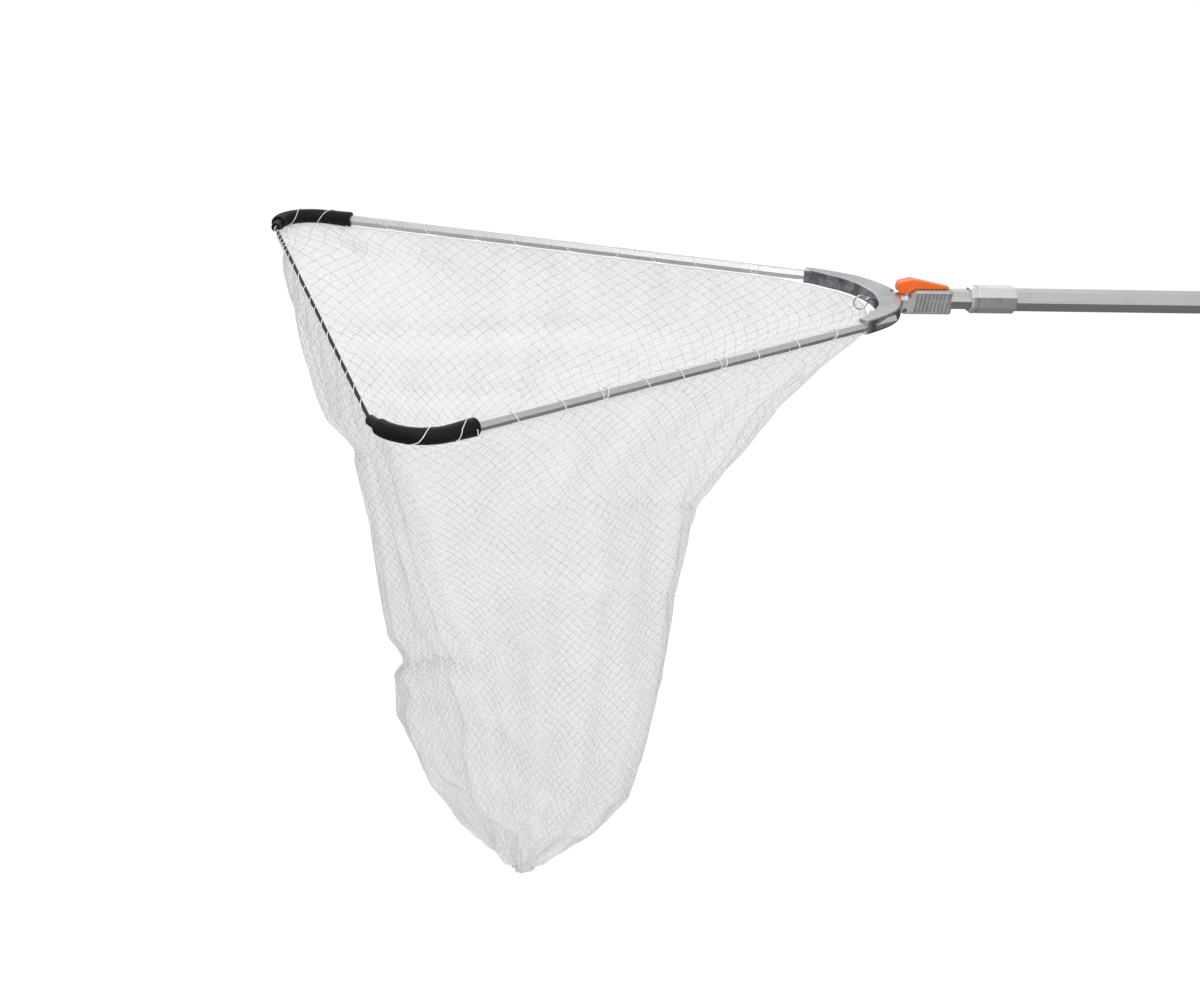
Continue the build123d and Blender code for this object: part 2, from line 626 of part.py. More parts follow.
PARTS = {
    "outer_tube": outer_tube.part, "lock_collar": lock_collar.part, "collar_bush": collar_bush.part,
    "handle_grip": handle_grip.part, "grip_ring": grip_ring.part, "butt_cap": butt_cap.part,
    "inner_tube": inner_tube.part, "tail_guide": tail_guide.part, "hinge_base": hinge_base.part,
    "base_screws": base_screws.part, "hinge_pin": hinge_pin.part, "pin_washers": pin_washers.part,
    "head_casting": head_casting.part, "left_arm": left_arm, "right_arm": right_arm,
    "arm_rivets": arm_rivets.part, "left_tip_elbow": left_tip_elbow, "right_tip_elbow": right_tip_elbow,
    "left_cord_ferrule": left_cord_ferrule, "right_cord_ferrule": right_cord_ferrule,
    "front_cord": front_cord.part, "lacing_twine": lacing_twine.part, "ring_eye": ring_eye.part,
    "split_ring": split_ring.part, "latch_lever": latch_lever.part, "latch_pin": latch_pin.part,
    "latch_spring": latch_spring.part, "net_bag": net_bag,
}
for name, shape in PARTS.items():
    export_step(shape, "parts/" + name + ".step")
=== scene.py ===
import math

import bmesh
import bpy
import numpy as np
from mathutils import Matrix, Vector


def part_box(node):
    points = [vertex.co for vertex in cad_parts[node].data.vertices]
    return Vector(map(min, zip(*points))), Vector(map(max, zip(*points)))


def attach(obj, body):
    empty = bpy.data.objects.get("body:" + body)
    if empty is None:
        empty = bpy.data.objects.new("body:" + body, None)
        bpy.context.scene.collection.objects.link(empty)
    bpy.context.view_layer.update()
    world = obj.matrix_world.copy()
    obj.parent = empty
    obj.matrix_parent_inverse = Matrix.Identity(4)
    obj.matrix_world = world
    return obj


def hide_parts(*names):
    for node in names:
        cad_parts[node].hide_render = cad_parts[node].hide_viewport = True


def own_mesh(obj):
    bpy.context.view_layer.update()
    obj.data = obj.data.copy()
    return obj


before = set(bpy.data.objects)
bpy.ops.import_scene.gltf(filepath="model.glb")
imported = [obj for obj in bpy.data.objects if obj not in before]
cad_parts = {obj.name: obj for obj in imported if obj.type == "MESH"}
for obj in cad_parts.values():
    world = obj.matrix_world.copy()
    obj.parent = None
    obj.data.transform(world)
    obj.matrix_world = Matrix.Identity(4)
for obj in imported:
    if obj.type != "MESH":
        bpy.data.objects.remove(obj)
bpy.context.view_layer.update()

# ---------------------------------------------------------------------------
# The head's plane, in millimetres from the neck: u toward the handle, v to the
# right, w up.  It falls 2.2 degrees toward the tips.
# ---------------------------------------------------------------------------
HINGE = np.array([-720.0, 0.0, 0.0])
CD, SD = math.cos(math.radians(2.2)), math.sin(math.radians(2.2))
HU, HV, HW = np.array([CD, 0, SD]), np.array([0, 1.0, 0]), np.array([-SD, 0, CD])
CA, SA = math.cos(math.radians(29.0)), math.sin(math.radians(29.0))
APEX, S_ELBOW, S_BEND, BEND_R, BEND_DEG = 80.8, 662.0, 690.0, 37.0, 102.6
ARM_AF, NOSE_LEN = 8.6, 18.5


def hp(u, v, w=0.0):
    """Row-frame point in metres for (u, v, w) in the head's plane, in mm."""
    return (HINGE + u * HU + v * HV + w * HW) / 1000.0


def arm_uv(s, side, off=0.0):
    return APEX - s * CA + off * SA, side * (s * SA + off * CA)


def elbow_end(side):
    """End of the elbow's bend and its direction there, in (u, v)."""
    bu, bv = arm_uv(S_BEND, side)
    d, n = np.array([-CA, side * SA]), np.array([-SA, -side * CA])
    t = math.radians(BEND_DEG)
    be = np.array([bu, bv]) + BEND_R * (math.sin(t) * d + (1 - math.cos(t)) * n)
    return be, math.cos(t) * d + math.sin(t) * n


# ---------------------------------------------------------------------------
# Mesh helpers
# ---------------------------------------------------------------------------


def mesh_object(name, verts, faces, smooth=True):
    me = bpy.data.meshes.new(name)
    me.from_pydata([tuple(v) for v in verts], [], [tuple(f) for f in faces])
    me.update()
    if smooth:
        me.polygons.foreach_set("use_smooth", [True] * len(me.polygons))
    ob = bpy.data.objects.new(name, me)
    bpy.context.scene.collection.objects.link(ob)
    return ob


def fast_mesh(name, verts, quads=None, tris=None, smooth=True):
    """A mesh from numpy arrays, quickly."""
    me = bpy.data.meshes.new(name)
    verts = np.asarray(verts, np.float32).reshape(-1, 3)
    loops, starts, n = [], [], 0
    if quads is not None and len(quads):
        q = np.asarray(quads, np.int32)
        loops.append(q.ravel()); starts.append(np.arange(len(q)) * 4); n = 4 * len(q)
    if tris is not None and len(tris):
        t = np.asarray(tris, np.int32)
        loops.append(t.ravel()); starts.append(n + np.arange(len(t)) * 3)
    loops, starts = np.concatenate(loops), np.concatenate(starts)
    me.vertices.add(len(verts))
    me.vertices.foreach_set("co", verts.ravel())
    me.loops.add(len(loops))
    me.loops.foreach_set("vertex_index", loops.astype(np.int32))
    me.polygons.add(len(starts))
    me.polygons.foreach_set("loop_start", starts.astype(np.int32))
    me.update(calc_edges=True)
    me.polygons.foreach_set("use_smooth", [smooth] * len(me.polygons))
    me.validate()
    ob = bpy.data.objects.new(name, me)
    bpy.context.scene.collection.objects.link(ob)
    return ob


def frames_along(path):
    """Tangent and two normals at each point, turned as little as possible."""
    p = np.asarray(path, float)
    t = np.gradient(p, axis=0)
    t /= np.maximum(np.linalg.norm(t, axis=1, keepdims=True), 1e-12)
    a = np.array([0, 0, 1.0]) if abs(t[0, 2]) < 0.9 else np.array([1.0, 0, 0])
    n = np.zeros_like(p)
    n[0] = a - (a @ t[0]) * t[0]
    n[0] /= np.linalg.norm(n[0])
    for i in range(1, len(p)):
        v = n[i - 1] - (n[i - 1] @ t[i]) * t[i]
        n[i] = v / max(np.linalg.norm(v), 1e-12)
    return p, t, n, np.cross(t, n)


def tube_arrays(path, radius, sides=8, closed_ends=True, shape=None):
    """Vertices, quads and end caps of a tube. radius is a number, a list, or a
    function (index, angle) given as shape."""
    p, t, n, b = frames_along(path)
    ang = np.linspace(0, 2 * math.pi, sides, endpoint=False)
    r = np.broadcast_to(np.asarray(radius, float).reshape(-1, 1), (len(p), sides)).copy()
    if shape is not None:
        r = shape(r, ang)
    ring = (p[:, None, :] + r[:, :, None] * (np.cos(ang)[None, :, None] * n[:, None, :]
                                             + np.sin(ang)[None, :, None] * b[:, None, :]))
    verts = ring.reshape(-1, 3)
    i = np.arange(len(p) - 1)[:, None] * sides
    j = np.arange(sides)[None, :]
    k = (j + 1) % sides
    quads = np.stack([i + j, i + k, i + sides + k, i + sides + j], -1).reshape(-1, 4)
    tris = []
    if closed_ends:
        verts = np.vstack([verts, p[0], p[-1]])
        a, z = len(verts) - 2, len(verts) - 1
        last = (len(p) - 1) * sides
        for q in range(sides):
            tris.append((a, (q + 1) % sides, q))
            tris.append((z, last + q, last + (q + 1) % sides))
    return verts, quads, np.array(tris, int).reshape(-1, 3)


def join_arrays(parts):
    v, q, t, n = [], [], [], 0
    for a, b, c in parts:
        v.append(a); q.append(b + n); t.append(c + n if len(c) else c)
        n += len(a)
    return np.vstack(v), np.vstack(q), np.vstack([x for x in t if len(x)] or [np.zeros((0, 3), int)])


def resample(points, step):
    p = np.asarray(points, float)
    d = np.concatenate([[0], np.cumsum(np.linalg.norm(np.diff(p, axis=0), axis=1))])
    n = max(2, int(math.ceil(d[-1] / step)) + 1)
    at = np.linspace(0, d[-1], n)
    return np.stack([np.interp(at, d, p[:, k]) for k in range(3)], 1)


def smooth_path(points, passes=2):
    p = np.asarray(points, float).copy()
    for _ in range(passes):
        p[1:-1] = 0.25 * p[:-2] + 0.5 * p[1:-1] + 0.25 * p[2:]
    return p


# ---------------------------------------------------------------------------
# Camera, at the photograph's angle
# ---------------------------------------------------------------------------
yaw, pitch, roll = math.radians(16.36), math.radians(20.75), math.radians(5.48)
right = np.array([math.cos(yaw), -math.sin(yaw), 0])
ahead = np.array([math.sin(yaw) * math.cos(pitch), math.cos(yaw) * math.cos(pitch), -math.sin(pitch)])
above = np.array([math.sin(yaw) * math.sin(pitch), math.cos(yaw) * math.sin(pitch), math.cos(pitch)])
r3 = right * math.cos(roll) + above * math.sin(roll)
u3 = -right * math.sin(roll) + above * math.cos(roll)
cam_data = bpy.data.cameras.new("camera")
cam_data.lens, cam_data.sensor_width = 74.75, 36.0
cam_data.clip_start, cam_data.clip_end = 0.05, 60
cam = bpy.data.objects.new("camera", cam_data)
bpy.context.scene.collection.objects.link(cam)
place = Matrix.Identity(4)
for i, col in enumerate((r3, u3, -ahead)):
    for k in range(3):
        place[k][i] = col[k]
place[0][3], place[1][3], place[2][3] = -1.6578, -2.2008, 0.6577
cam.matrix_world = place
bpy.context.scene.camera = cam

# ---------------------------------------------------------------------------
# Materials
# ---------------------------------------------------------------------------


class Nodes:
    """Small helper round a material's node tree."""

    def __init__(self, name):
        self.mat = bpy.data.materials.new(name)
        self.mat.use_nodes = True
        self.tree = self.mat.node_tree
        self.n, self.l = self.tree.nodes, self.tree.links
        self.bsdf = self.n["Principled BSDF"]
        self.out = self.n["Material Output"]
        self.coord = self.n.new("ShaderNodeTexCoord")

    def set(self, **values):
        for k, v in values.items():
            self.bsdf.inputs[k.replace("_", " ")].default_value = v
        return self

    def mapping(self, scale=(1, 1, 1), rotation=(0, 0, 0), location=(0, 0, 0)):
        m = self.n.new("ShaderNodeMapping")
        m.inputs["Scale"].default_value = scale
        m.inputs["Rotation"].default_value = rotation
        m.inputs["Location"].default_value = location
        self.l.new(self.coord.outputs["Object"], m.inputs["Vector"])
        return m.outputs["Vector"]

    def noise(self, vector, scale, detail=3.0, rough=0.55, distortion=0.0):
        t = self.n.new("ShaderNodeTexNoise")
        t.inputs["Scale"].default_value = scale
        t.inputs["Detail"].default_value = detail
        t.inputs["Roughness"].default_value = rough
        t.inputs["Distortion"].default_value = distortion
        self.l.new(vector, t.inputs["Vector"])
        return t.outputs["Fac"]

    def voronoi(self, vector, scale, feature="F1"):
        t = self.n.new("ShaderNodeTexVoronoi")
        t.feature = feature
        t.inputs["Scale"].default_value = scale
        self.l.new(vector, t.inputs["Vector"])
        return t.outputs["Distance"]

    def wave(self, vector, scale, distortion=0.0, direction="X", detail=0.0, profile="SIN"):
        t = self.n.new("ShaderNodeTexWave")
        t.bands_direction, t.wave_profile = direction, profile
        t.inputs["Scale"].default_value = scale
        t.inputs["Distortion"].default_value = distortion
        t.inputs["Detail"].default_value = detail
        self.l.new(vector, t.inputs["Vector"])
        return t.outputs["Fac"]

    def ramp(self, fac, stops, mode="LINEAR"):
        r = self.n.new("ShaderNodeValToRGB")
        r.color_ramp.interpolation = mode
        el = r.color_ramp.elements
        while len(el) < len(stops):
            el.new(0.5)
        for e, (pos, col) in zip(el, stops):
            e.position = pos
            e.color = (*col, 1) if len(col) == 3 else col
        self.l.new(fac, r.inputs["Fac"])
        return r.outputs["Color"]

    def span(self, fac, lo, hi, f0=0.0, f1=1.0):
        m = self.n.new("ShaderNodeMapRange")
        m.inputs["From Min"].default_value, m.inputs["From Max"].default_value = f0, f1
        m.inputs["To Min"].default_value, m.inputs["To Max"].default_value = lo, hi
        self.l.new(fac, m.inputs["Value"])
        return m.outputs["Result"]

    def math(self, op, a, b=None):
        m = self.n.new("ShaderNodeMath")
        m.operation = op
        for i, x in enumerate((a, b)):
            if x is None:
                continue
            if isinstance(x, (int, float)):
                m.inputs[i].default_value = x
            else:
                self.l.new(x, m.inputs[i])
        return m.outputs["Value"]

    def mix(self, fac, a, b, mode="MIX"):
        m = self.n.new("ShaderNodeMix")
        m.data_type, m.blend_type = "RGBA", mode
        for s, x in ((0, fac), (6, a), (7, b)):
            if isinstance(x, (int, float)):
                m.inputs[s].default_value = x
            elif isinstance(x, tuple):
                m.inputs[s].default_value = (*x, 1) if len(x) == 3 else x
            else:
                self.l.new(x, m.inputs[s])
        return m.outputs[2]

    def worn(self, low=0.52, high=0.62):
        g = self.n.new("ShaderNodeNewGeometry")
        return self.span(g.outputs["Pointiness"], 0.0, 1.0, low, high)

    def color(self, x):
        self.l.new(x, self.bsdf.inputs["Base Color"])

    def rough(self, x):
        self.l.new(x, self.bsdf.inputs["Roughness"])

    def bump(self, *layers):
        """Each layer is (height, strength, distance)."""
        normal = None
        for height, strength, distance in layers:
            b = self.n.new("ShaderNodeBump")
            b.inputs["Strength"].default_value = strength
            b.inputs["Distance"].default_value = distance
            self.l.new(height, b.inputs["Height"])
            if normal is not None:
                self.l.new(normal, b.inputs["Normal"])
            normal = b.outputs["Normal"]
        self.l.new(normal, self.bsdf.inputs["Normal"])


def drawn_aluminium(name, angle=0.0, tilt=0.0, base=(0.66, 0.665, 0.66), rough=(0.24, 0.42)):
    """Extruded, anodised tube: fine die lines along its length, soft cloudiness, small nicks."""
    m = Nodes(name)
    along = m.mapping(scale=(3, 900, 900), rotation=(0, tilt, angle))
    lines = m.noise(along, 1.0, 4.0, 0.6)
    broad = m.noise(m.mapping(scale=(1, 60, 60), rotation=(0, tilt, angle)), 1.2, 3.0)
    cloud = m.noise(m.mapping(), 26.0, 4.0, 0.6)
    nick = m.noise(m.mapping(scale=(1, 1, 1)), 420.0, 2.0, 0.4)
    col = m.ramp(lines, [(0.3, tuple(c * 0.86 for c in base)), (0.7, tuple(min(1, c * 1.08) for c in base))])
    col = m.mix(m.span(cloud, 0.0, 0.35, 0.35, 0.75), col, tuple(c * 0.9 for c in base))
    col = m.mix(m.span(nick, 0.0, 0.5, 0.70, 0.78), col, (0.36, 0.36, 0.37))
    m.color(col)
    r = m.span(lines, rough[0], rough[1], 0.25, 0.75)
    r = m.math("ADD", r, m.span(cloud, -0.05, 0.08, 0.3, 0.7))
    m.rough(r)
    m.set(Metallic=1.0)
    m.bump((lines, 0.18, 0.00015), (broad, 0.1, 0.0006), (nick, 0.08, 0.0001))
    return m.mat


def collar_metal():
    m = Nodes("collar_metal")
    turn = m.noise(m.mapping(scale=(1500, 8, 8)), 1.0, 3.0, 0.6)
    cloud = m.noise(m.mapping(), 60.0, 4.0)
    col = m.ramp(cloud, [(0.3, (0.46, 0.455, 0.435)), (0.7, (0.56, 0.555, 0.535))])
    col = m.mix(m.worn(0.51, 0.58), col, (0.93, 0.93, 0.92))
    m.color(col)
    m.rough(m.math("ADD", m.span(turn, 0.22, 0.36, 0.3, 0.7), m.span(cloud, -0.04, 0.06, 0.3, 0.7)))
    m.set(Metallic=1.0)
    m.bump((turn, 0.22, 0.0001), (cloud, 0.1, 0.0003))
    return m.mat


def cast_satin(name, light, dark, rough=(0.38, 0.5), metallic=0.85, polished=False):
    """Die-cast alloy with a fine satin blast, rubbed brighter on its edges."""
    m = Nodes(name)
    grain = m.noise(m.mapping(), 1500.0, 2.0, 0.5)
    pit = m.voronoi(m.mapping(), 900.0)
    cloud = m.noise(m.mapping(), 45.0, 4.0, 0.6)
    col = m.ramp(cloud, [(0.32, dark), (0.68, light)])
    col = m.mix(m.span(grain, 0.0, 0.3, 0.45, 0.75), col, tuple(c * 0.75 for c in dark))
    col = m.mix(m.worn(0.515, 0.60), col, (0.86, 0.86, 0.86))
    r = m.math("ADD", m.span(grain, rough[0], rough[1], 0.3, 0.7), m.span(cloud, -0.04, 0.07, 0.3, 0.7))
    m.color(col)
    m.rough(r)
    m.set(Metallic=metallic)
    m.bump((grain, 0.14, 0.0002), (pit, 0.06, 0.00025), (cloud, 0.08, 0.0008))
    return m.mat


def polished_alloy(name="head_polished_painted_reflection"):
    m = Nodes(name)
    smear = m.noise(m.mapping(), 90.0, 4.0, 0.6)
    scratch = m.noise(m.mapping(scale=(60, 60, 900)), 1.0, 3.0, 0.6)
    # base colour kept far darker than bare polished metal: a painted dark reflection, varied by the polishing smears
    m.color(m.ramp(smear, [(0.38, (0.16, 0.17, 0.20)), (0.62, (0.40, 0.41, 0.44))]))
    m.rough(m.math("ADD", m.span(smear, 0.05, 0.16, 0.3, 0.7), m.span(scratch, 0.0, 0.08, 0.4, 0.7)))
    m.set(Metallic=1.0)
    wave = m.noise(m.mapping(), 38.0, 2.0, 0.5)
    m.bump((wave, 0.5, 0.0022), (scratch, 0.07, 0.0001), (smear, 0.12, 0.0006))
    return m.mat


def steel(name="steel", base=(0.72, 0.73, 0.75), rough=(0.12, 0.26)):
    m = Nodes(name)
    fine = m.noise(m.mapping(), 900.0, 3.0)
    cloud = m.noise(m.mapping(), 160.0, 3.0)
    m.color(m.ramp(cloud, [(0.3, tuple(c * 0.86 for c in base)), (0.7, base)]))
    m.rough(m.span(fine, rough[0], rough[1], 0.3, 0.7))
    m.set(Metallic=1.0)
    m.bump((fine, 0.1, 0.0001), (cloud, 0.08, 0.0003))
    return m.mat


def plastic(name, light, dark, rough=(0.3, 0.45), grain_scale=1300.0, coat=0.0, worn=None, bump=0.2):
    m = Nodes(name)
    grain = m.noise(m.mapping(), grain_scale, 2.0, 0.5)
    cloud = m.noise(m.mapping(), 55.0, 4.0, 0.6)
    scuff = m.noise(m.mapping(scale=(1, 3, 1)), 220.0, 5.0, 0.7, 0.4)
    col = m.ramp(cloud, [(0.3, dark), (0.7, light)])
    if worn:
        col = m.mix(m.worn(0.53, 0.63), col, worn)
    m.color(col)
    r = m.math("ADD", m.span(grain, rough[0], rough[1], 0.3, 0.7), m.span(scuff, 0.0, 0.16, 0.56, 0.74))
    m.rough(r)
    m.set(Coat_Weight=coat, Coat_Roughness=0.12)
    m.bump((grain, bump, 0.00018), (cloud, 0.06, 0.0006))
    return m.mat


def foam():
    m = Nodes("grip_foam")
    cell = m.voronoi(m.mapping(), 1500.0)
    big = m.voronoi(m.mapping(), 620.0)
    cloud = m.noise(m.mapping(), 34.0, 5.0, 0.6)
    speck = m.noise(m.mapping(), 1900.0, 2.0)
    col = m.ramp(cloud, [(0.3, (0.016, 0.016, 0.017)), (0.7, (0.032, 0.032, 0.034))])
    col = m.mix(m.span(speck, 0.0, 0.5, 0.66, 0.8), col, (0.09, 0.09, 0.095))
    m.color(col)
    m.rough(m.span(cell, 0.78, 0.95, 0.0, 0.6))
    m.set(Sheen_Weight=0.15, Sheen_Roughness=0.6)
    m.bump((cell, 0.45, 0.00035), (big, 0.25, 0.0004), (cloud, 0.15, 0.0015))
    return m.mat


def rubber():
    m = Nodes("butt_rubber")
    grain = m.noise(m.mapping(), 900.0, 3.0)
    dust = m.noise(m.mapping(), 70.0, 6.0, 0.7)
    m.color(m.ramp(dust, [(0.35, (0.012, 0.012, 0.012)), (0.75, (0.035, 0.034, 0.032))]))
    m.rough(m.span(grain, 0.55, 0.78, 0.3, 0.7))
    m.bump((grain, 0.35, 0.0003), (dust, 0.1, 0.001))
    return m.mat


def braid():
    m = Nodes("black_cord")
    fib = m.noise(m.mapping(scale=(900, 160, 900)), 1.0, 3.0)
    cloud = m.noise(m.mapping(), 120.0, 3.0)
    m.color(m.ramp(cloud, [(0.3, (0.006, 0.006, 0.006)), (0.7, (0.014, 0.014, 0.015))]))
    m.rough(m.span(fib, 0.55, 0.8, 0.3, 0.7))
    m.set(Sheen_Weight=0.06, Sheen_Roughness=0.5, Specular_IOR_Level=0.25)
    m.bump((fib, 0.4, 0.0002))
    return m.mat


def twine_white():
    m = Nodes("white_twine")
    ply = m.noise(m.mapping(), 1100.0, 3.0)
    cloud = m.noise(m.mapping(), 90.0, 3.0)
    m.color(m.ramp(cloud, [(0.3, (0.80, 0.81, 0.80)), (0.7, (0.93, 0.935, 0.93))]))
    m.rough(m.span(ply, 0.3, 0.55, 0.3, 0.7))
    m.set(Sheen_Weight=0.3, Sheen_Roughness=0.4)
    m.bump((ply, 0.3, 0.0002))
    return m.mat


def monofilament():
    """Clear drawn nylon, seen as pale grey threads with small bright glints."""
    m = Nodes("net_thread")
    fine = m.noise(m.mapping(), 700.0, 3.0)
    cloud = m.noise(m.mapping(), 18.0, 4.0)
    m.color(m.ramp(cloud, [(0.3, (0.64, 0.65, 0.655)), (0.7, (0.78, 0.79, 0.795))]))
    m.rough(m.span(fine, 0.14, 0.36, 0.3, 0.7))
    m.set(Transmission_Weight=0.10, IOR=1.45)
    m.bump((fine, 0.25, 0.0002))
    return m.mat


def net_haze():
    """The finest part of the mesh, too small to model thread by thread: a thin pale
    screen that is mostly open, thicker where the net bunches."""
    m = Nodes("net_mesh")
    cell = m.voronoi(m.mapping(scale=(1, 1, 0.7)), 360.0, "DISTANCE_TO_EDGE")
    fine = m.voronoi(m.mapping(), 900.0)
    patch = m.noise(m.mapping(), 13.0, 5.0, 0.6)
    streak = m.noise(m.mapping(scale=(60, 60, 8)), 1.0, 4.0, 0.6, 0.5)
    m.color(m.ramp(patch, [(0.3, (0.80, 0.805, 0.81)), (0.7, (0.87, 0.875, 0.875))]))
    m.rough(m.span(fine, 0.40, 0.60, 0.0, 0.6))
    alpha = m.math("ADD", m.span(cell, 0.71, 0.49, 0.02, 0.22), m.span(patch, -0.06, 0.08, 0.3, 0.7))
    alpha = m.math("ADD", alpha, m.span(streak, -0.06, 0.10, 0.3, 0.7))
    m.l.new(alpha, m.bsdf.inputs["Alpha"])
    m.set(Specular_IOR_Level=0.25)
    m.bump((cell, 0.25, 0.0003), (streak, 0.3, 0.002))
    return m.mat


M = {
    "pole": drawn_aluminium("pole_aluminium", base=(0.70, 0.70, 0.69)),
    "arm_left": drawn_aluminium("arm_aluminium_left", angle=-math.radians(29.0), base=(0.70, 0.705, 0.70)),
    "arm_right": drawn_aluminium("arm_aluminium_right", angle=math.radians(29.0), base=(0.70, 0.705, 0.70)),
    "collar": collar_metal(),
    "block": cast_satin("block_metal", (0.56, 0.565, 0.57), (0.46, 0.465, 0.475), rough=(0.28, 0.40)),
    "head": cast_satin("head_metal", (0.47, 0.475, 0.485), (0.38, 0.385, 0.395), rough=(0.24, 0.36)),
    "head_polished_painted_reflection": polished_alloy(),
    # a much darker copy of the head's satin metal for its steep side walls: painted shade
    "head_side_painted_shade": cast_satin("head_side_painted_shade", (0.15, 0.155, 0.165), (0.10, 0.105, 0.115), rough=(0.18, 0.30)),
    "steel": steel(),
    "ring": steel("ring_steel", (0.62, 0.60, 0.57), (0.10, 0.20)),
    "black": plastic("black_moulding", (0.010, 0.010, 0.011), (0.005, 0.005, 0.0055), rough=(0.38, 0.52),
                     worn=(0.022, 0.022, 0.023)),
    "orange": plastic("orange_plastic", (1.0, 0.20, 0.012), (0.97, 0.135, 0.012), rough=(0.18, 0.28),
                      coat=0.4, bump=0.06, grain_scale=700.0),
    "nylon": plastic("nylon", (0.05, 0.05, 0.052), (0.03, 0.03, 0.032), rough=(0.42, 0.55)),
    "foam": foam(),
    "rubber": rubber(),
    "cord": braid(),
    "twine": twine_white(),
    "thread": monofilament(),
    "haze": net_haze(),
}


M["black"].node_tree.nodes["Principled BSDF"].inputs["Specular IOR Level"].default_value = 0.16


def finish_of(ob, key):
    ob.data.materials.clear()
    ob.data.materials.append(M[key])


CAD_LOOKS = {
    "outer_tube": ("pole", "pole_aluminium"), "inner_tube": ("pole", "pole_aluminium"),
    "lock_collar": ("collar", "collar_metal"), "collar_bush": ("nylon", "nylon"),
    "handle_grip": ("foam", "grip_foam"), "grip_ring": ("black", "black_moulding"),
    "butt_cap": ("rubber", "butt_rubber"), "tail_guide": ("nylon", "nylon"),
    "hinge_base": ("block", "block_metal"), "base_screws": ("steel", "steel"),
    "hinge_pin": ("steel", "steel"), "pin_washers": ("nylon", "nylon"),
    "head_casting": ("head", "head_metal"), "left_arm": ("arm_left", "arm_aluminium"),
    "right_arm": ("arm_right", "arm_aluminium"), "arm_rivets": ("steel", "steel"),
    "left_cord_ferrule": ("black", "black_moulding"), "right_cord_ferrule": ("black", "black_moulding"),
    "ring_eye": ("ring", "steel"), "latch_pin": ("steel", "steel"), "latch_lever": ("orange", "orange_plastic"),
    "latch_spring": ("steel", "steel"),
}
for node, (key, slot) in CAD_LOOKS.items():
    finish_of(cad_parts[node], key)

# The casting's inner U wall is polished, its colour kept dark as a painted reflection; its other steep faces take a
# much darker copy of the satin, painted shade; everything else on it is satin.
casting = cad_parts["head_casting"]
casting.data.materials.append(M["head_polished_painted_reflection"])
casting.data.materials.append(M["head_side_painted_shade"])
for poly in casting.data.polygons:
    c = np.array(poly.center) * 1000 - HINGE
    u, v, w = c @ HU, c @ HV, c @ HW
    n = np.array(poly.normal)
    inward = n @ (np.array([-1.0, 0, 0]) if abs(v) < 20 else np.array([-0.45, -0.9 * np.sign(v), 0]))
    if abs(n @ HW) < 0.75 and inward > 0.25 and u < -33.5 and abs(v) < 84 and w > -8 and u > -100:
        poly.material_index = 1
    # steep faces outside the U wall get the darker copy: painted shade on the sides
    elif abs(n @ HW) < 0.8:
        poly.material_index = 2

# ---------------------------------------------------------------------------
# The taut black cord across the mouth
# ---------------------------------------------------------------------------
be, e = elbow_end(1)
CORD_U, CORD_V = be + e * NOSE_LEN
CORD_V -= 0.9
cord_curve = bpy.data.curves.new("front_cord_line", "CURVE")
cord_curve.dimensions = "3D"
sp = cord_curve.splines.new("NURBS")
cord_pts = [(CORD_U, -CORD_V, 0), (CORD_U - 0.2, -CORD_V + 40, -0.1), (CORD_U + 0.2, -CORD_V * 0.5, -0.9),
            (CORD_U + 0.4, 0, -1.2), (CORD_U + 0.2, CORD_V * 0.5, -0.9), (CORD_U - 0.2, CORD_V - 40, -0.1),
            (CORD_U, CORD_V, 0)]
sp.points.add(len(cord_pts) - 1)
for q, c in zip(sp.points, cord_pts):
    q.co = (*hp(*c), 1)
sp.order_u, sp.use_endpoint_u, sp.resolution_u = 3, True, 24
line_ob = bpy.data.objects.new("front_cord_line", cord_curve)
line_mesh = bpy.data.meshes.new_from_object(line_ob)
cord_line = np.array([v.co for v in line_mesh.vertices], float)
bpy.data.meshes.remove(line_mesh)
bpy.data.objects.remove(line_ob)
cord_fine = resample(cord_line, 0.00045)


def braid_relief(r, ang):
    i = np.arange(r.shape[0])[:, None] * 0.00045
    turn = i / 0.0105 * 2 * math.pi
    a = np.abs(np.sin(4 * ang[None, :] + turn * 2))
    b = np.abs(np.sin(4 * ang[None, :] - turn * 2))
    return r * (0.90 + 0.10 * np.maximum(a, b))


v, q, t = tube_arrays(cord_fine, 0.00162, 24, True, braid_relief)
front_cord = fast_mesh("front_cord_braid", v, q, t)
finish_of(front_cord, "cord")
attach(front_cord, "net_head")
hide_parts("front_cord")

# white twine that whips the bag's front edge to the cord
rng = np.random.default_rng(7)
cl = resample(cord_line, 0.0005)
p_, t_, n_, b_ = frames_along(cl)
dist = np.arange(len(cl)) * (np.linalg.norm(np.diff(cl, axis=0), axis=1).mean())
# close turns near the right tip, long open ones over the rest
span_ = dist.max() - dist
pitch_ = 0.017 + 0.021 * np.clip((span_ - 0.07) / 0.10, 0, 1) + 0.005 * np.sin(dist * 33.0)
phase = 2 * math.pi * np.cumsum(np.gradient(dist) / pitch_) + 0.5 * np.sin(dist * 97.0 + 1.0)
rad = 0.00195 + 0.00012 * np.sin(dist * 310)
spiral = p_ + rad[:, None] * (np.cos(phase)[:, None] * n_ + np.sin(phase)[:, None] * b_)
v, q, t = tube_arrays(spiral, 0.00042, 7)
whip = fast_mesh("cord_whipping", v, q, t)
finish_of(whip, "twine")
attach(whip, "net_head")

# ---------------------------------------------------------------------------
# Moulded elbows: ribbed sleeves that bend round each tip
# ---------------------------------------------------------------------------


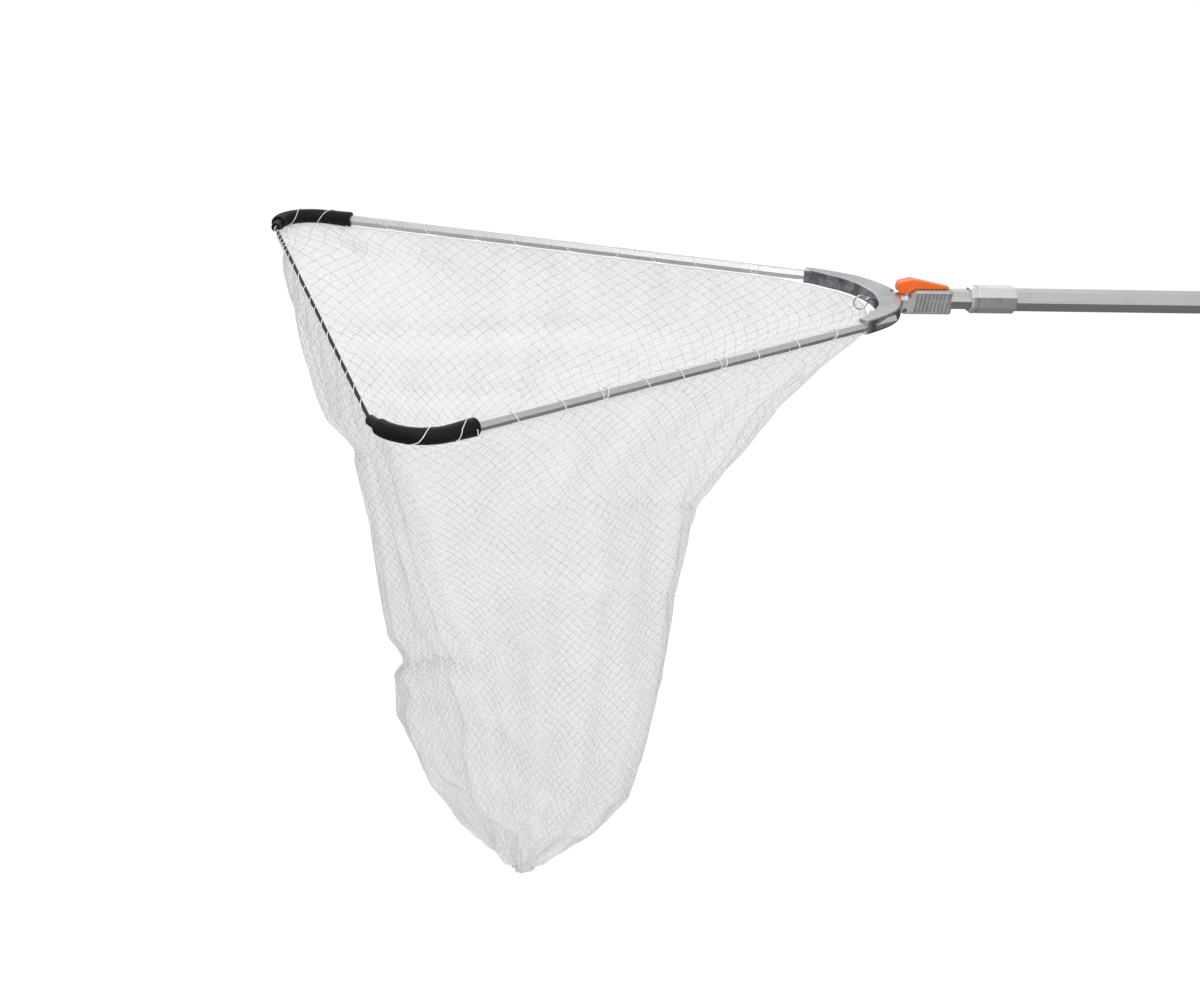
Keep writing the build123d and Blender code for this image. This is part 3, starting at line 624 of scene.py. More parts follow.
def elbow_path(side, step=0.4):
    """Centre line in (u, v) mm with the distance along it."""
    pts = [arm_uv(s, side) for s in np.arange(S_ELBOW, S_BEND, step)]
    bs = np.array(arm_uv(S_BEND, side))
    d, n = np.array([-CA, side * SA]), np.array([-SA, -side * CA])
    total = math.radians(BEND_DEG)
    for a in np.linspace(0, total, int(BEND_R * total / step)):
        pts.append(tuple(bs + BEND_R * (math.sin(a) * d + (1 - math.cos(a)) * n)))
    return np.array(pts)


def sleeve_radius(x, total):
    """Outer radius in mm at distance x along the elbow."""
    base = 8.1 - 0.8 * min(1.0, x / 28.0)
    edge = 1.0 - min(1.0, x / 1.0)
    end = max(0.0, 1 - (total - x) / 0.8)
    return base - 0.95 * edge ** 1.5 - 0.7 * end ** 1.5


def make_elbow(side, name):
    uv = elbow_path(side)
    d = np.concatenate([[0], np.cumsum(np.linalg.norm(np.diff(uv, axis=0), axis=1))])
    total = d[-1]
    path = np.array([hp(a, b) for a, b in uv])
    sides = 64
    ang = np.linspace(0, 2 * math.pi, sides, endpoint=False)
    tang = np.gradient(uv, axis=0)
    tang /= np.linalg.norm(tang, axis=1, keepdims=True)
    rings = []
    for i, (u0, v0) in enumerate(uv):
        nrm = np.array([-tang[i, 1], tang[i, 0]]) * side
        out = nrm[0] * HU + nrm[1] * HV
        r = sleeve_radius(d[i], total)
        x = d[i]
        band = 1.0 if 3.6 < x < total - 4.0 else 0.0
        rib = 0.23 * band * (0.5 - 0.5 * math.cos(2 * math.pi * (x - 3.6) / 2.05)) ** 2.0
        # moulding flash along the two sides, where the halves of the tool met
        flash = 0.12 * np.exp(-(np.sin(ang) / 0.05) ** 2)
        rr = r - 0.20 * band + rib + flash
        rings.append(path[i] * 1000 + rr[:, None] * (np.cos(ang)[:, None] * out + np.sin(ang)[:, None] * HW))
    # step in to the bore at the open end, and a closed end at the nose
    first = []
    for rr, back in ((4.75, 0.0), (4.7, 5.0)):
        u0, v0 = arm_uv(S_ELBOW + back, side)
        nrm = np.array([-tang[0, 1], tang[0, 0]]) * side
        out = nrm[0] * HU + nrm[1] * HV
        hexr = rr * 0.98 / np.maximum(np.cos((ang + math.pi / 6) % (math.pi / 3) - math.pi / 6), 0.5) * 0.93
        first.append(hp(u0, v0) * 1000 + hexr[:, None] * (np.cos(ang)[:, None] * out + np.sin(ang)[:, None] * HW))
    nrm = np.array([-tang[-1, 1], tang[-1, 0]]) * side
    out = nrm[0] * HU + nrm[1] * HV
    last = []
    for rr, fwd in ((4.9, 0.0), (4.75, -1.2)):
        c = path[-1] * 1000 + (tang[-1, 0] * HU + tang[-1, 1] * HV) * fwd
        last.append(c + rr * (np.cos(ang)[:, None] * out + np.sin(ang)[:, None] * HW))
    allr = first[::-1] + rings + last
    verts = np.vstack(allr) / 1000.0
    n = len(allr)
    i = np.arange(n - 1)[:, None] * sides
    j = np.arange(sides)[None, :]
    k = (j + 1) % sides
    quads = np.stack([i + j, i + k, i + sides + k, i + sides + j], -1).reshape(-1, 4)
    if side > 0:
        quads = quads[:, ::-1]
    ob = fast_mesh(name, verts, quads)
    bm = bmesh.new()
    bm.from_mesh(ob.data)
    bmesh.ops.recalc_face_normals(bm, faces=bm.faces)
    bm.to_mesh(ob.data)
    bm.free()
    finish_of(ob, "black")
    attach(ob, "net_head")
    return ob


left_elbow = make_elbow(-1, "left_elbow_sleeve")
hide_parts("left_tip_elbow")
right_elbow = make_elbow(1, "right_elbow_sleeve")
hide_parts("right_tip_elbow")

# ---------------------------------------------------------------------------
# Twine: lacing round the arms, and crossed turns over the elbows
# ---------------------------------------------------------------------------


def on_arm(s, angle, side, r):
    """Point on a circle of radius r round an arm's axis. Angle 0 is up, 90 outward."""
    u, v = arm_uv(s, side)
    a = math.radians(angle)
    ou, ov = SA, side * CA
    return hp(u + r * math.sin(a) * ou, v + r * math.sin(a) * ov, r * math.cos(a))


def hex_r(angle, base=4.3, out=0.42):
    """Radius of a thread lying on the hexagonal arm, flats up and down."""
    a = (angle + 30) % 60 - 30
    return min(base / math.cos(math.radians(a)), 4.92) + out


def lacing(side, name, seed):
    g = np.random.default_rng(seed)
    pts = []
    s = 183.0
    turn = 180.0
    while s < 652:
        gap = g.uniform(40, 58)
        # along the arm's underside, a little slack between two turns
        for f in np.linspace(0, 1, 14)[:-1]:
            sag = 0.7 * math.sin(math.pi * f)
            wob = 6 * math.sin(2 * math.pi * f + seed)
            pts.append(on_arm(s + gap * f, turn + wob, side, hex_r(180, out=0.55) + sag))
        s += gap
        if s > 655:
            break
        # one and a half slanted turns round the arm, and back under itself
        slant = g.uniform(5.0, 9.0) * (1 if g.random() < 0.7 else -1)
        turns = 360 if g.random() < 0.75 else 720
        for a in np.arange(0, turns, 12.0):
            lift = 0.55 if a > 340 else 0.0
            pts.append(on_arm(s + slant * math.sin(math.radians(a / 2)) * (1 if turns == 360 else 0.6)
                              + a / turns * 1.6, turn + side * a, side, hex_r(turn + side * a, out=0.42 + lift * 0.5)))
        s += 1.6
    path = resample(smooth_path(pts, 1), 0.0011)
    v, q, t = tube_arrays(path, 0.00048, 6)
    parts = [(v, q, t)]
    # short cut ends at a few of the knots
    for _ in range(7):
        s0 = g.uniform(200, 640)
        a0 = g.uniform(-70, 250)
        end = []
        for f in np.linspace(0, 1, 8):
            end.append(on_arm(s0 + f * g.uniform(2, 5), a0 + 26 * f, side, hex_r(a0) + 6.0 * f ** 1.6))
        parts.append(tube_arrays(smooth_path(end, 2), np.linspace(0.0003, 0.00018, 8), 5))
    v, q, t = join_arrays(parts)
    ob = fast_mesh(name, v, q, t)
    finish_of(ob, "twine")
    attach(ob, "net_head")
    return ob


lace_left = lacing(-1, "left_arm_lacing", 3)
lace_right = lacing(1, "right_arm_lacing", 8)
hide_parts("lacing_twine")


def on_sleeve(x, angle, side, out=0.35):
    """Point on an elbow's skin at distance x along it. Angle 0 is up, 90 outward."""
    uv = elbow_path(side)
    d = np.concatenate([[0], np.cumsum(np.linalg.norm(np.diff(uv, axis=0), axis=1))])
    total = d[-1]
    i = min(np.searchsorted(d, max(x, 0)), len(uv) - 2)
    tg = uv[i + 1] - uv[i]
    tg /= np.linalg.norm(tg)
    nrm = np.array([-tg[1], tg[0]]) * side
    if nrm @ np.array([SA, side * CA]) < 0 and x < 5:
        nrm = -nrm
    r = (sleeve_radius(min(max(x, 1.2), total - 1), total) if x >= 0 else 5.0) + out
    a = math.radians(angle)
    c = uv[i] if x >= 0 else np.array(arm_uv(S_ELBOW + x, side))
    return hp(c[0] + nrm[0] * r * math.sin(a), c[1] + nrm[1] * r * math.sin(a), r * math.cos(a))


def sleeve_turns(side, name, stops):
    """Twine through (distance, angle) stops on the sleeve."""
    pts = []
    for (x0, a0), (x1, a1) in zip(stops[:-1], stops[1:]):
        n = max(3, int(abs(a1 - a0) / 8 + abs(x1 - x0) / 1.5))
        for f in np.linspace(0, 1, n)[:-1]:
            pts.append(on_sleeve(x0 + (x1 - x0) * f, a0 + (a1 - a0) * f, side))
    pts.append(on_sleeve(*stops[-1], side))
    v, q, t = tube_arrays(resample(smooth_path(pts, 1), 0.001), 0.00044, 6)
    ob = fast_mesh(name, v, q, t)
    finish_of(ob, "twine")
    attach(ob, "net_head")
    return ob


SIGN = {-1: 1, 1: 1}
turn_left = sleeve_turns(-1, "left_sleeve_twine", [(-6, 180), (3, 120), (8, 10), (20, -60), (26, -180), (38, -300),
                                                   (46, -360), (54, -470), (66, -540), (80, -600), (93, -660)])
turn_right = sleeve_turns(1, "right_sleeve_twine", [(-6, 180), (6, 240), (22, 350), (34, 460), (40, 540), (50, 660),
                                                    (62, 760), (78, 880), (93, 960)])

# ---------------------------------------------------------------------------
# Split ring: one and three quarter turns of wire, sprung together
# ---------------------------------------------------------------------------
ring_c = np.array([-765.901, 0.0, -4.947])
pts = []
for a in np.linspace(math.radians(-20), math.radians(-20 + 690), 260):
    f = (a - math.radians(-20)) / math.radians(690)
    y = 0.50 * math.tanh((f - 0.5) * 14)
    pts.append((ring_c + np.array([7.0 * math.cos(a), y, 7.0 * math.sin(a)])) / 1000)
v, q, t = tube_arrays(pts, 0.00050, 14)
ring = fast_mesh("split_ring_wire", v, q, t)
finish_of(ring, "ring")
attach(ring, "ring")
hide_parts("split_ring")

# ---------------------------------------------------------------------------
# Net bag
# ---------------------------------------------------------------------------
# Outline of the rim in (u, v), just under the arms, elbows and cord, walked
# from the crotch along the right side and back along the left.
END_U, END_V = be + e * 10.0


def rim_line():
    half = [(-37.6, 0.0), (-39.6, 17.5), (-44.6, 35.0), (-53.6, 50.5), (-64.5, 62.5)]
    half += [tuple(np.array(arm_uv(174, 1, -9.0))), tuple(np.array(arm_uv(186, 1, -6.0)))]
    half += [tuple(np.array(arm_uv(s, 1, -0.5))) for s in np.linspace(204, 668, 12)]
    tot = math.radians(BEND_DEG)
    bs = np.array(arm_uv(S_BEND, 1))
    d, n = np.array([-CA, SA]), np.array([-SA, -CA])
    for a in np.linspace(0.05, tot, 7):
        half.append(tuple(bs + BEND_R * (math.sin(a) * d + (1 - math.cos(a)) * n)))
    half += [(CORD_U, CORD_V - 6), (CORD_U, CORD_V * 0.8), (CORD_U, CORD_V * 0.6), (CORD_U, CORD_V * 0.4),
             (CORD_U, CORD_V * 0.2), (CORD_U, 0.0)]
    other = [(u, -v) for u, v in half[1:-1]][::-1]
    return np.array(half + other + [half[0]])


def walk(points, n):
    """n points evenly spaced round a closed line."""
    p = np.asarray(points, float)
    d = np.concatenate([[0], np.cumsum(np.linalg.norm(np.diff(p, axis=0), axis=1))])
    at = np.arange(n) / n * d[-1]
    return np.stack([np.interp(at, d, p[:, k]) for k in range(p.shape[1])], 1), d[-1]


# Cross-sections lower down, in mm from the neck: height, back and front X in
# the middle plane, half width, and how much of the rim's own outline they keep.
SECTIONS = [
    # z,    back,  front, half,  share
    (-40,   -45,  -594,  290,   0.90),
    (-75,   -78,  -590,  280,   0.78),
    (-112, -112,  -578,  264,   0.64),
    (-154, -146,  -553,  244,   0.50),
    (-200, -177,  -531,  222,   0.36),
    (-238, -194,  -518,  203,   0.24),
    (-300, -201,  -504,  180,   0.11),
    (-350, -204,  -492,  164,   0.04),
    (-385, -206,  -483,  155,   0.01),
    (-425, -209,  -480,  149,   0.0),
    (-470, -214,  -465,  140,   0.0),
    (-515, -224,  -444,  122,   0.0),
    (-553, -243,  -414,  98,    0.0),
    (-579, -262,  -388,  72,    0.0),
    (-595, -276,  -372,  50,    0.0),
    (-603, -287,  -362,  34,    0.0),
    (-607, -298,  -352,  20,    0.0),
    (-609, -310,  -340,  8,     0.0),
]

# The bag's outline from the side the camera is on, as it falls on the middle
# plane (X, Z from the neck): the front edge with its notch, and the back edge.
FRONT_LINE = [(-628, 60), (-621, 36), (-612, 9), (-604, -15), (-597, -40), (-583, -90), (-570, -125), (-543, -154), (-521, -230), (-508, -297),
              (-496, -351), (-480, -376), (-485, -395), (-484, -407), (-481, -438), (-463, -474), (-444, -515),
              (-412, -559), (-386, -587), (-352, -618), (-344, -640)]
BACK_LINE = [(-30, -10), (-44, -37), (-114, -112), (-187, -213), (-194, -238), (-203, -313), (-208, -409),
             (-219, -493), (-229, -541), (-260, -582), (-312, -616), (-322, -640)]
EYE = np.array([-937.8, -2200.8, 657.7])


def catmull(ctrl, t):
    """Catmull-Rom through rows of ctrl at parameters t in [0, len - 1]."""
    c = np.asarray(ctrl, float)
    i = np.clip(np.floor(t).astype(int), 0, len(c) - 2)
    f = (t - i)[:, None] if c.ndim > 1 else t - i
    a, b = c[np.maximum(i - 1, 0)], c[i]
    d, g = c[i + 1], c[np.minimum(i + 2, len(c) - 1)]
    return 0.5 * (2 * b + (d - a) * f + (2 * a - 5 * b + 4 * d - g) * f ** 2 + (3 * b - a - 3 * d + g) * f ** 3)


NA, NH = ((192, 96))
rim_uv, rim_len = walk(rim_line(), NA)


def bag_surface():
    """Grid of points NH x NA in mm, hanging from the rim."""
    ang = np.arctan2(rim_uv[:, 1] / 330.0, (rim_uv[:, 0] + 345.0) / 250.0)
    ang[0] = 0.0
    # angle of each column round the lower sections, spaced more evenly than the rim's own
    even = np.linspace(0, 2 * math.pi, NA, endpoint=False)
    ang = np.unwrap(ang)
    if ang[-1] < 0:
        ang = -ang
    blend_ang = 0.45 * ang + 0.55 * even
    # the edge dips at the crotch, under the ring
    low = -7.2 - 10.5 * np.exp(-(rim_uv[:, 1] / 6.0) ** 2) * (rim_uv[:, 0] > -60)
    rim = np.stack([HINGE[0] + rim_uv[:, 0] * CD - low * SD, rim_uv[:, 1], rim_uv[:, 0] * SD + low * CD], 1)
    rows = [rim]
    for z, back, front, half, share in SECTIONS:
        xc, a = (back + front) / 2, (back - front) / 2
        ex = xc + a * np.cos(blend_ang)
        ey = half * np.sin(blend_ang)
        x = share * rim_uv[:, 0] + (1 - share) * ex
        y = share * rim_uv[:, 1] * (half / 330.0 + 0.12) + (1 - share) * ey
        rows.append(np.stack([HINGE[0] + x, y, np.full(NA, float(z))], 1))
    rows = np.array(rows)
    # even spacing down each column
    dense = np.stack([catmull(rows[:, k, :], np.linspace(0, len(rows) - 1, 400)) for k in range(NA)], 1)
    out = np.zeros((NH, NA, 3))
    for k in range(NA):
        col = dense[:, k, :]
        d = np.concatenate([[0], np.cumsum(np.linalg.norm(np.diff(col, axis=0), axis=1))])
        at = np.linspace(0, d[-1], NH)
        for c in range(3):
            out[:, k, c] = np.interp(at, d, col[:, c])
    return out


FOLDS = [
    # the far wall's two long slack creases, and the cross folds over the near side
    (0.10, 0.10, 0.40, 0.20, 0.016, 9.0),
    (0.16, 0.22, 0.40, 0.27, 0.014, 7.0),
    (0.62, 0.52, 0.86, 0.66, 0.030, 6.0),
    (0.56, 0.66, 0.74, 0.80, 0.026, 7.0),
    (0.70, 0.24, 0.92, 0.36, 0.030, 4.5),
]


def ripple(grid):
    """Hanging folds: shallow pleats that start at the lacing and run down, and broad slack swags."""
    h = np.linspace(0, 1, NH)[:, None]
    a = np.linspace(0, 2 * math.pi, NA, endpoint=False)[None, :]
    nxt, prv = np.roll(grid, -1, 1), np.roll(grid, 1, 1)
    along = nxt - prv
    along /= np.maximum(np.linalg.norm(along, axis=2, keepdims=True), 1e-9)
    down = np.gradient(grid, axis=0)
    down /= np.maximum(np.linalg.norm(down, axis=2, keepdims=True), 1e-9)
    out = np.cross(along, down)
    out /= np.maximum(np.linalg.norm(out, axis=2, keepdims=True), 1e-9)
    centre = grid.mean(1, keepdims=True)
    flip = np.sign(((grid - centre) * out).sum(2).mean())
    out = out * flip
    env = np.clip(h / 0.10, 0, 1) ** 1.2 * (1 - np.clip((h - 0.86) / 0.14, 0, 1)) ** 1.0
    w = (3.4 * np.sin(9 * a + 1.0 + 2.0 * h + 0.8 * np.sin(3 * a))
         + 2.6 * np.sin(16 * a + 4.0 * h + 1.4 * np.sin(5 * a + 1))
         + 1.6 * np.sin(27 * a - 3.0 * h + 2.0 * np.sin(4 * a + 2)))
    turn = np.arange(NA)[None, :] / NA
    for a0, h0, a1, h1, wide, deep in FOLDS:
        # a crease along the line from (a0, h0) to (a1, h1), turns and heights
        f = np.clip((turn - a0) / (a1 - a0), -0.2, 1.2)
        line = h0 + (h1 - h0) * f
        ends = np.clip(1.2 - np.abs(f - 0.5) * 2.0, 0, 1) * 1.0
        d = (h - line) / wide
        w = w + deep * ends * (np.exp(-d ** 2) - 0.55 * np.exp(-((d - 1.5) / 1.3) ** 2))
    return grid + (env * w)[:, :, None] * out, out


def to_outline(grid):
    """Eases the bag forward or back so that its outline, seen from the camera's side,
    follows FRONT_LINE and BACK_LINE. The rim stays where it is."""
    g = grid - HINGE
    t = -EYE[1] / (g[:, :, 1] - EYE[1])
    x0 = EYE[0] + t * (g[:, :, 0] - EYE[0])
    z0 = EYE[2] + t * (g[:, :, 2] - EYE[2])
    bins = np.arange(-650, 90, 6.0)
    idx = np.clip(((z0 - bins[0]) / 6.0).round().astype(int), 0, len(bins) - 1)
    lo, hi = np.full(len(bins), np.inf), np.full(len(bins), -np.inf)
    np.minimum.at(lo, idx.ravel(), x0.ravel())
    np.maximum.at(hi, idx.ravel(), x0.ravel())
    good = np.isfinite(lo) & (hi - lo > 12)
    lo, hi = np.interp(bins, bins[good], lo[good]), np.interp(bins, bins[good], hi[good])
    for _ in range(2):
        lo = np.convolve(np.pad(lo, 1, "edge"), [0.25, 0.5, 0.25], "valid")
        hi = np.convolve(np.pad(hi, 1, "edge"), [0.25, 0.5, 0.25], "valid")
    front = np.array(FRONT_LINE)[::-1]
    back = np.array(BACK_LINE)[::-1]
    want_lo, want_hi = np.interp(z0, front[:, 1], front[:, 0]), np.interp(z0, back[:, 1], back[:, 0])
    have_lo, have_hi = np.interp(z0, bins, lo), np.interp(z0, bins, hi)
    f = (x0 - have_lo) / np.maximum(have_hi - have_lo, 1.0)
    shift = want_lo + f * (want_hi - want_lo) - x0
    h = np.linspace(0, 1, grid.shape[0])[:, None]
    turn = np.arange(grid.shape[1])[None, :] / grid.shape[1]
    crotch = np.exp(-(np.minimum(turn, 1 - turn) / 0.075) ** 2)
    k = np.clip(h / (0.13 - 0.10 * crotch), 0, 1)
    k = k * k * (3 - 2 * k)
    fall = np.clip((-z0 - 15) / (70.0 - 50.0 * crotch), 0, 1)
    k = k * np.maximum(fall, np.clip((62 - z0) / 20.0, 0, 1) * np.clip(1 - 2.2 * f, 0, 1) ** 1.5)
    out = grid.copy()
    out[:, :, 0] += np.clip(shift, -70, 70) * k / t
    return out


grid0 = bag_surface()
grid0 = to_outline(to_outline(grid0))
grid, outward = ripple(grid0)


def grid_quads(nh, na):
    i = np.arange(nh - 1)[:, None] * na
    j = np.arange(na)[None, :]
    k = (j + 1) % na
    return np.stack([i + j, i + k, i + na + k, i + na + j], -1).reshape(-1, 4)


def drape(grid):
    """Hangs the bag as cloth, cut a little full, from its pinned rim."""
    nh, na = grid.shape[:2]
    ob = fast_mesh("net_drape", grid.reshape(-1, 3) / 1000.0, grid_quads(nh, na))
    pin = ob.vertex_groups.new(name="pin")
    row = np.repeat(np.arange(nh), na)
    for r_ in range(nh):
        wgt = 1.0 if r_ == 0 else (0.10 if r_ < nh * 0.9 else 0.25)
        pin.add([int(x) for x in np.flatnonzero(row == r_)], wgt, "REPLACE")
    cl = ob.modifiers.new("cloth", "CLOTH")
    st = cl.settings
    st.quality = 6
    st.mass = 0.02
    st.tension_stiffness = st.compression_stiffness = 12
    st.shear_stiffness = 3
    st.bending_stiffness = 0.02
    st.tension_damping = st.compression_damping = st.shear_damping = 4
    st.air_damping = 2
    st.vertex_group_mass = "pin"
    st.pin_stiffness = 1.2
    st.shrink_min = -0.035
    st.effector_weights.gravity = 0.5
    cl.collision_settings.use_collision = False
    cl.collision_settings.use_self_collision = False
    cl.point_cache.frame_start, cl.point_cache.frame_end = 1, 40
    sc = bpy.context.scene
    for f in range(1, 33):
        sc.frame_set(f)
    dg = bpy.context.evaluated_depsgraph_get()
    got = ob.evaluated_get(dg).to_mesh()
    co = np.zeros(len(got.vertices) * 3, np.float32)
    got.vertices.foreach_get("co", co)
    ob.evaluated_get(dg).to_mesh_clear()
    sc.frame_set(1)
    bpy.data.objects.remove(ob)
    moved = co.reshape(nh, na, 3).astype(float) * 1000.0 - grid
    far = np.linalg.norm(moved, axis=2, keepdims=True)
    moved *= np.minimum(1.0, 22.0 / np.maximum(far, 1e-9))
    for _ in range(2):
        moved = 0.5 * moved + 0.25 * (np.roll(moved, 1, 1) + np.roll(moved, -1, 1))
        moved[1:-1] = 0.5 * moved[1:-1] + 0.25 * (moved[:-2] + moved[2:])
    moved[0] = 0.0
    return grid + moved, float(far.max())


grid, most = drape(grid)
print("drape moved at most", round(most, 1), "mm")
grid = to_outline(grid)

# keep the bag inside the room that its CAD solid holds
lo_, hi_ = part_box("net_bag")
grid[:, :, 0] = np.clip(grid[:, :, 0], lo_[0] * 1000 - 8, hi_[0] * 1000 + 60)
grid[:, :, 1] = np.clip(grid[:, :, 1], lo_[1] * 1000 - 6, hi_[1] * 1000 + 6)
grid[:, :, 2] = np.maximum(grid[:, :, 2], lo_[2] * 1000 - 6)


def at_surface(a, h, off=0.0):
    """Points on the bag for column a in turns and row h from 0 to 1."""
    nh, na = grid.shape[:2]
    x = (np.asarray(a) % 1.0) * na
    y = np.clip(np.asarray(h), 0, 1) * (nh - 1)
    i, j = np.floor(x).astype(int) % na, np.clip(np.floor(y).astype(int), 0, nh - 2)
    fx, fy = (x - np.floor(x))[..., None], (y - j)[..., None]
    i1 = (i + 1) % na
    p = ((grid[j, i] * (1 - fx) + grid[j, i1] * fx) * (1 - fy)
         + (grid[j + 1, i] * (1 - fx) + grid[j + 1, i1] * fx) * fy)
    if off:
        o = outward[j, i]
        p = p + off * o
    return p


# the haze sheet
sheet_v = grid.reshape(-1, 3) / 1000.0
tip = grid[-1].mean(0) / 1000.0
nh, na = grid.shape[:2]
tris = [((nh - 1) * na + k, (nh - 1) * na + (k + 1) % na, nh * na) for k in range(na)]
net_sheet = fast_mesh("net_bag_mesh", np.vstack([sheet_v, tip]), grid_quads(nh, na), np.array(tris))
finish_of(net_sheet, "haze")
bm = bmesh.new()
bm.from_mesh(net_sheet.data)
AREA = sum(f.calc_area() for f in bm.faces)
bm.free()
print("net area", round(AREA, 3), "rim", round(rim_len), "mm")

# threads and knots
N_AROUND, N_DOWN = 112, 112
THREAD = 0.00021


def threads(sign, name):
    verts, quads, total = [], [], 0
    sides = 3
    steps = N_DOWN * 2
    j = np.arange(steps + 1)
    h = j / steps
    # real meshes close up toward the bottom, where threads crowd together
    wob = rng.normal(0, 0.055, (N_AROUND, steps + 1))
    for i in range(N_AROUND):
        a = (i + sign * j * 0.25 + wob[i] * (j > 1)) / N_AROUND
        stop = len(h) if i % 2 == 0 and i % 4 == 0 else int(len(h) * (0.94 if i % 2 == 0 else 0.84))
        p = at_surface(a[:stop], h[:stop]) / 1000.0
        p_, t_, n_, b_ = frames_along(p)
        ang = np.linspace(0, 2 * math.pi, sides, endpoint=False) + (0.0 if sign > 0 else 1.0)
        ring_ = p_[:, None, :] + THREAD * (np.cos(ang)[None, :, None] * n_[:, None, :]
                                           + np.sin(ang)[None, :, None] * b_[:, None, :])
        base = total
        total += len(p) * sides
        verts.append(ring_.reshape(-1, 3))
        ii = np.arange(len(p) - 1)[:, None] * sides + base
        jj = np.arange(sides)[None, :]
        kk = (jj + 1) % sides
        quads.append(np.stack([ii + jj, ii + kk, ii + sides + kk, ii + sides + jj], -1).reshape(-1, 4))
    ob = fast_mesh(name, np.vstack(verts), np.vstack(quads))
    finish_of(ob, "thread")
    return ob


net_a = threads(1, "net_threads_a")
net_b = threads(-1, "net_threads_b")


def knots():
    g = np.random.default_rng(21)
    A, H = [], []
    for j in range(2, N_DOWN * 2 - 2, 2):
        # threads i + j/4 and k - j/4 meet at every half step
        off = (j * 0.25) % 0.5
        for i in range(N_AROUND * 2):
            A.append((i * 0.5 + off) / N_AROUND)
            H.append(j / (N_DOWN * 2))
    A, H = np.array(A), np.array(H)
    keep = g.random(len(A)) < 0.35
    A, H = A[keep], H[keep]
    c = at_surface(A, H) / 1000.0
    size = g.uniform(0.00030, 0.00052, len(c))
    oct_v = np.array([(1, 0, 0), (-1, 0, 0), (0, 1, 0), (0, -1, 0), (0, 0, 1), (0, 0, -1)], float)
    oct_f = np.array([(0, 2, 4), (2, 1, 4), (1, 3, 4), (3, 0, 4), (2, 0, 5), (1, 2, 5), (3, 1, 5), (0, 3, 5)])
    spin = g.normal(0, 1, (len(c), 3))
    spin /= np.linalg.norm(spin, axis=1, keepdims=True)
    other = np.cross(spin, np.array([0.3, 0.5, 0.8]))
    other /= np.linalg.norm(other, axis=1, keepdims=True)
    third = np.cross(spin, other)
    basis = np.stack([spin, other, third], 1)
    v = c[:, None, :] + size[:, None, None] * np.einsum("ij,njk->nik", oct_v, basis)
    f = (np.arange(len(c))[:, None, None] * 6 + oct_f[None]).reshape(-1, 3)
    ob = fast_mesh("net_knots", v.reshape(-1, 3), None, f, smooth=True)
    finish_of(ob, "thread")
    return ob


net_knots = knots()

# head rope along the bag's top edge, and the sewn seam near its foot
edge = [at_surface(k / 600, 0.0) / 1000.0 for k in range(600)]
v, q, t = tube_arrays(np.array(edge + edge[:1]), 0.00045, 6, closed_ends=False)
v = v[:]
net_edge = fast_mesh("net_head_rope", v, q)
finish_of(net_edge, "twine")
seam_pts = np.array([at_surface(k / 500, 0.915 + 0.012 * math.sin(2 * math.pi * k / 500 * 2 + 1)) for k in range(501)]) / 1000.0
v, q, t = tube_arrays(smooth_path(seam_pts, 3), 0.00045, 5, closed_ends=False)
net_seam = fast_mesh("net_foot_seam", v, q)
finish_of(net_seam, "thread")

for ob in (net_sheet, net_a, net_b, net_knots, net_edge, net_seam):
    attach(ob, "net_head")
    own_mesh(ob)
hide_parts("net_bag")

# ---------------------------------------------------------------------------
# Floor and light
# ---------------------------------------------------------------------------
bpy.ops.mesh.primitive_plane_add(size=240, location=(-0.7, 0, -0.668))
floor = bpy.context.object
floor.name = "floor"
fm = Nodes("floor_pale")
pale = fm.noise(fm.mapping(), 3.0, 3.0)
fm.color(fm.ramp(pale, [(0.3, (0.20, 0.20, 0.20)), (0.7, (0.215, 0.215, 0.215))]))
fm.set(Roughness=0.9)
fm.bsdf.inputs["Emission Color"].default_value = (1, 1, 1, 1)
fm.bsdf.inputs["Emission Strength"].default_value = 0.86
floor.data.materials.append(fm.mat)
floor.visible_glossy = False

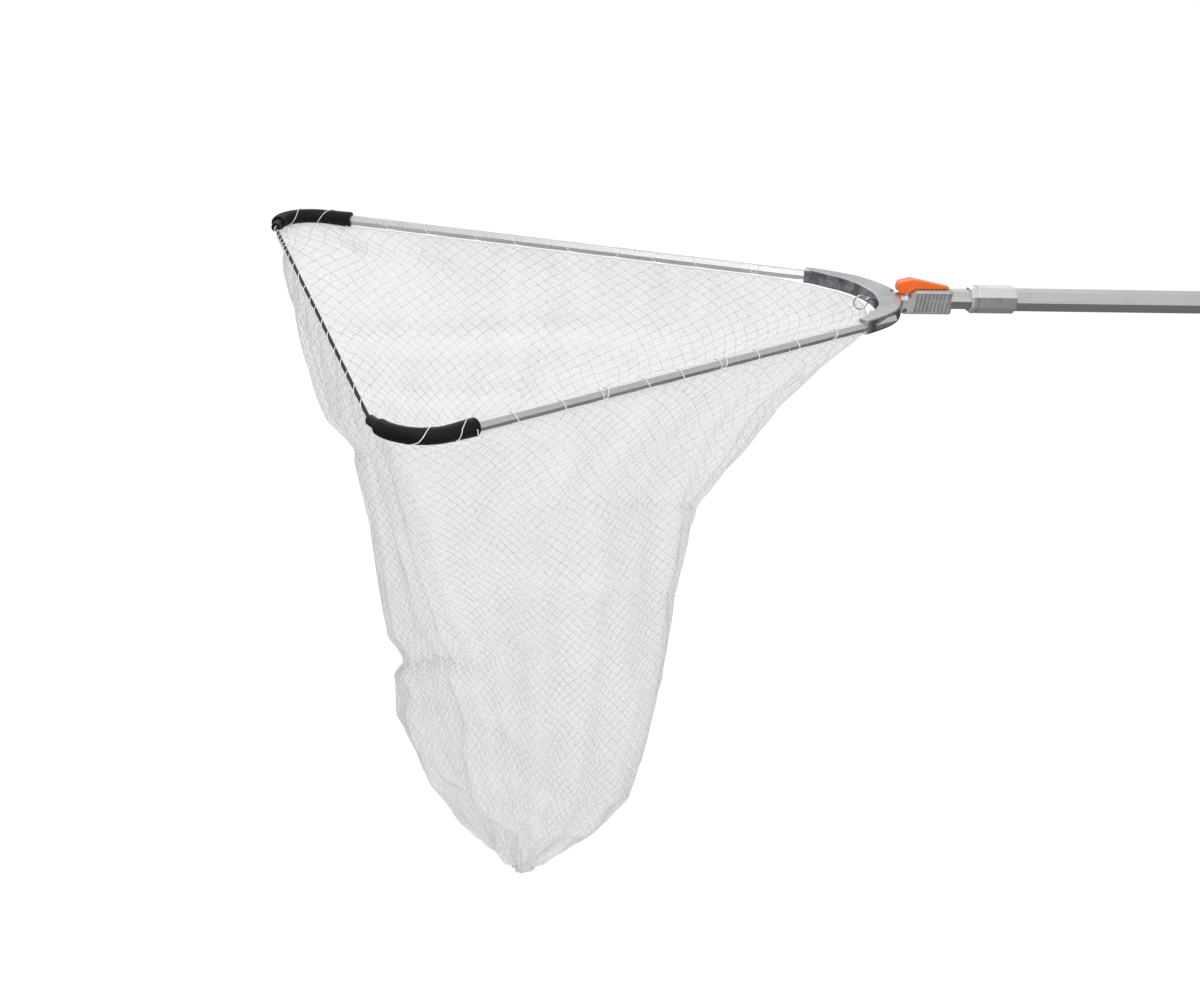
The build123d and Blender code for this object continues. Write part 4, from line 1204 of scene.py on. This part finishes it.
world = bpy.data.worlds.new("studio")
bpy.context.scene.world = world
world.use_nodes = True
wt = world.node_tree
bg = wt.nodes["Background"]
tc = wt.nodes.new("ShaderNodeTexCoord")
sep = wt.nodes.new("ShaderNodeSeparateXYZ")
wt.links.new(tc.outputs["Generated"], sep.inputs[0])
wr = wt.nodes.new("ShaderNodeValToRGB")
stops = [(0.0, (0.30, 0.30, 0.31)), (0.20, (0.32, 0.32, 0.33)), (0.275, (0.03, 0.03, 0.04)), (0.365, (0.02, 0.02, 0.03)),
         (0.41, (0.75, 0.75, 0.76)), (0.60, (1.0, 1.0, 1.0)), (1.0, (1.0, 1.0, 1.0))]
el = wr.color_ramp.elements
while len(el) < len(stops):
    el.new(0.5)
for e_, (pos, col) in zip(el, stops):
    e_.position, e_.color = pos, (*col, 1)
mr = wt.nodes.new("ShaderNodeMapRange")
mr.inputs["From Min"].default_value, mr.inputs["From Max"].default_value = -1, 1
wt.links.new(sep.outputs["Z"], mr.inputs["Value"])
wt.links.new(mr.outputs["Result"], wr.inputs["Fac"])
wt.links.new(wr.outputs["Color"], bg.inputs["Color"])
bg.inputs["Strength"].default_value = 0.66


def area(name, loc, target, size, power, colour=(1, 1, 1)):
    li = bpy.data.lights.new(name, "AREA")
    li.shape, li.size, li.size_y, li.energy, li.color = "RECTANGLE", size[0], size[1], power, colour
    ob = bpy.data.objects.new(name, li)
    bpy.context.scene.collection.objects.link(ob)
    ob.location = loc
    ob.rotation_mode = "QUATERNION"
    ob.rotation_quaternion = (Vector(target) - Vector(loc)).to_track_quat("-Z", "Y")
    return ob


area("key", (-1.6, -1.2, 2.6), (-0.9, 0, -0.1), (2.2, 1.6), 28)
area("fill", (-0.2, -2.8, 0.9), (-0.9, 0, -0.2), (2.0, 1.4), 8)
area("back", (-0.8, 2.2, 1.8), (-0.9, 0, -0.1), (2.6, 1.2), 15)

sc = bpy.context.scene
sc.view_settings.view_transform = "Standard"
sc.view_settings.look = "None"
sc.cycles.transparent_max_bounces = 24
sc.cycles.max_bounces = 8
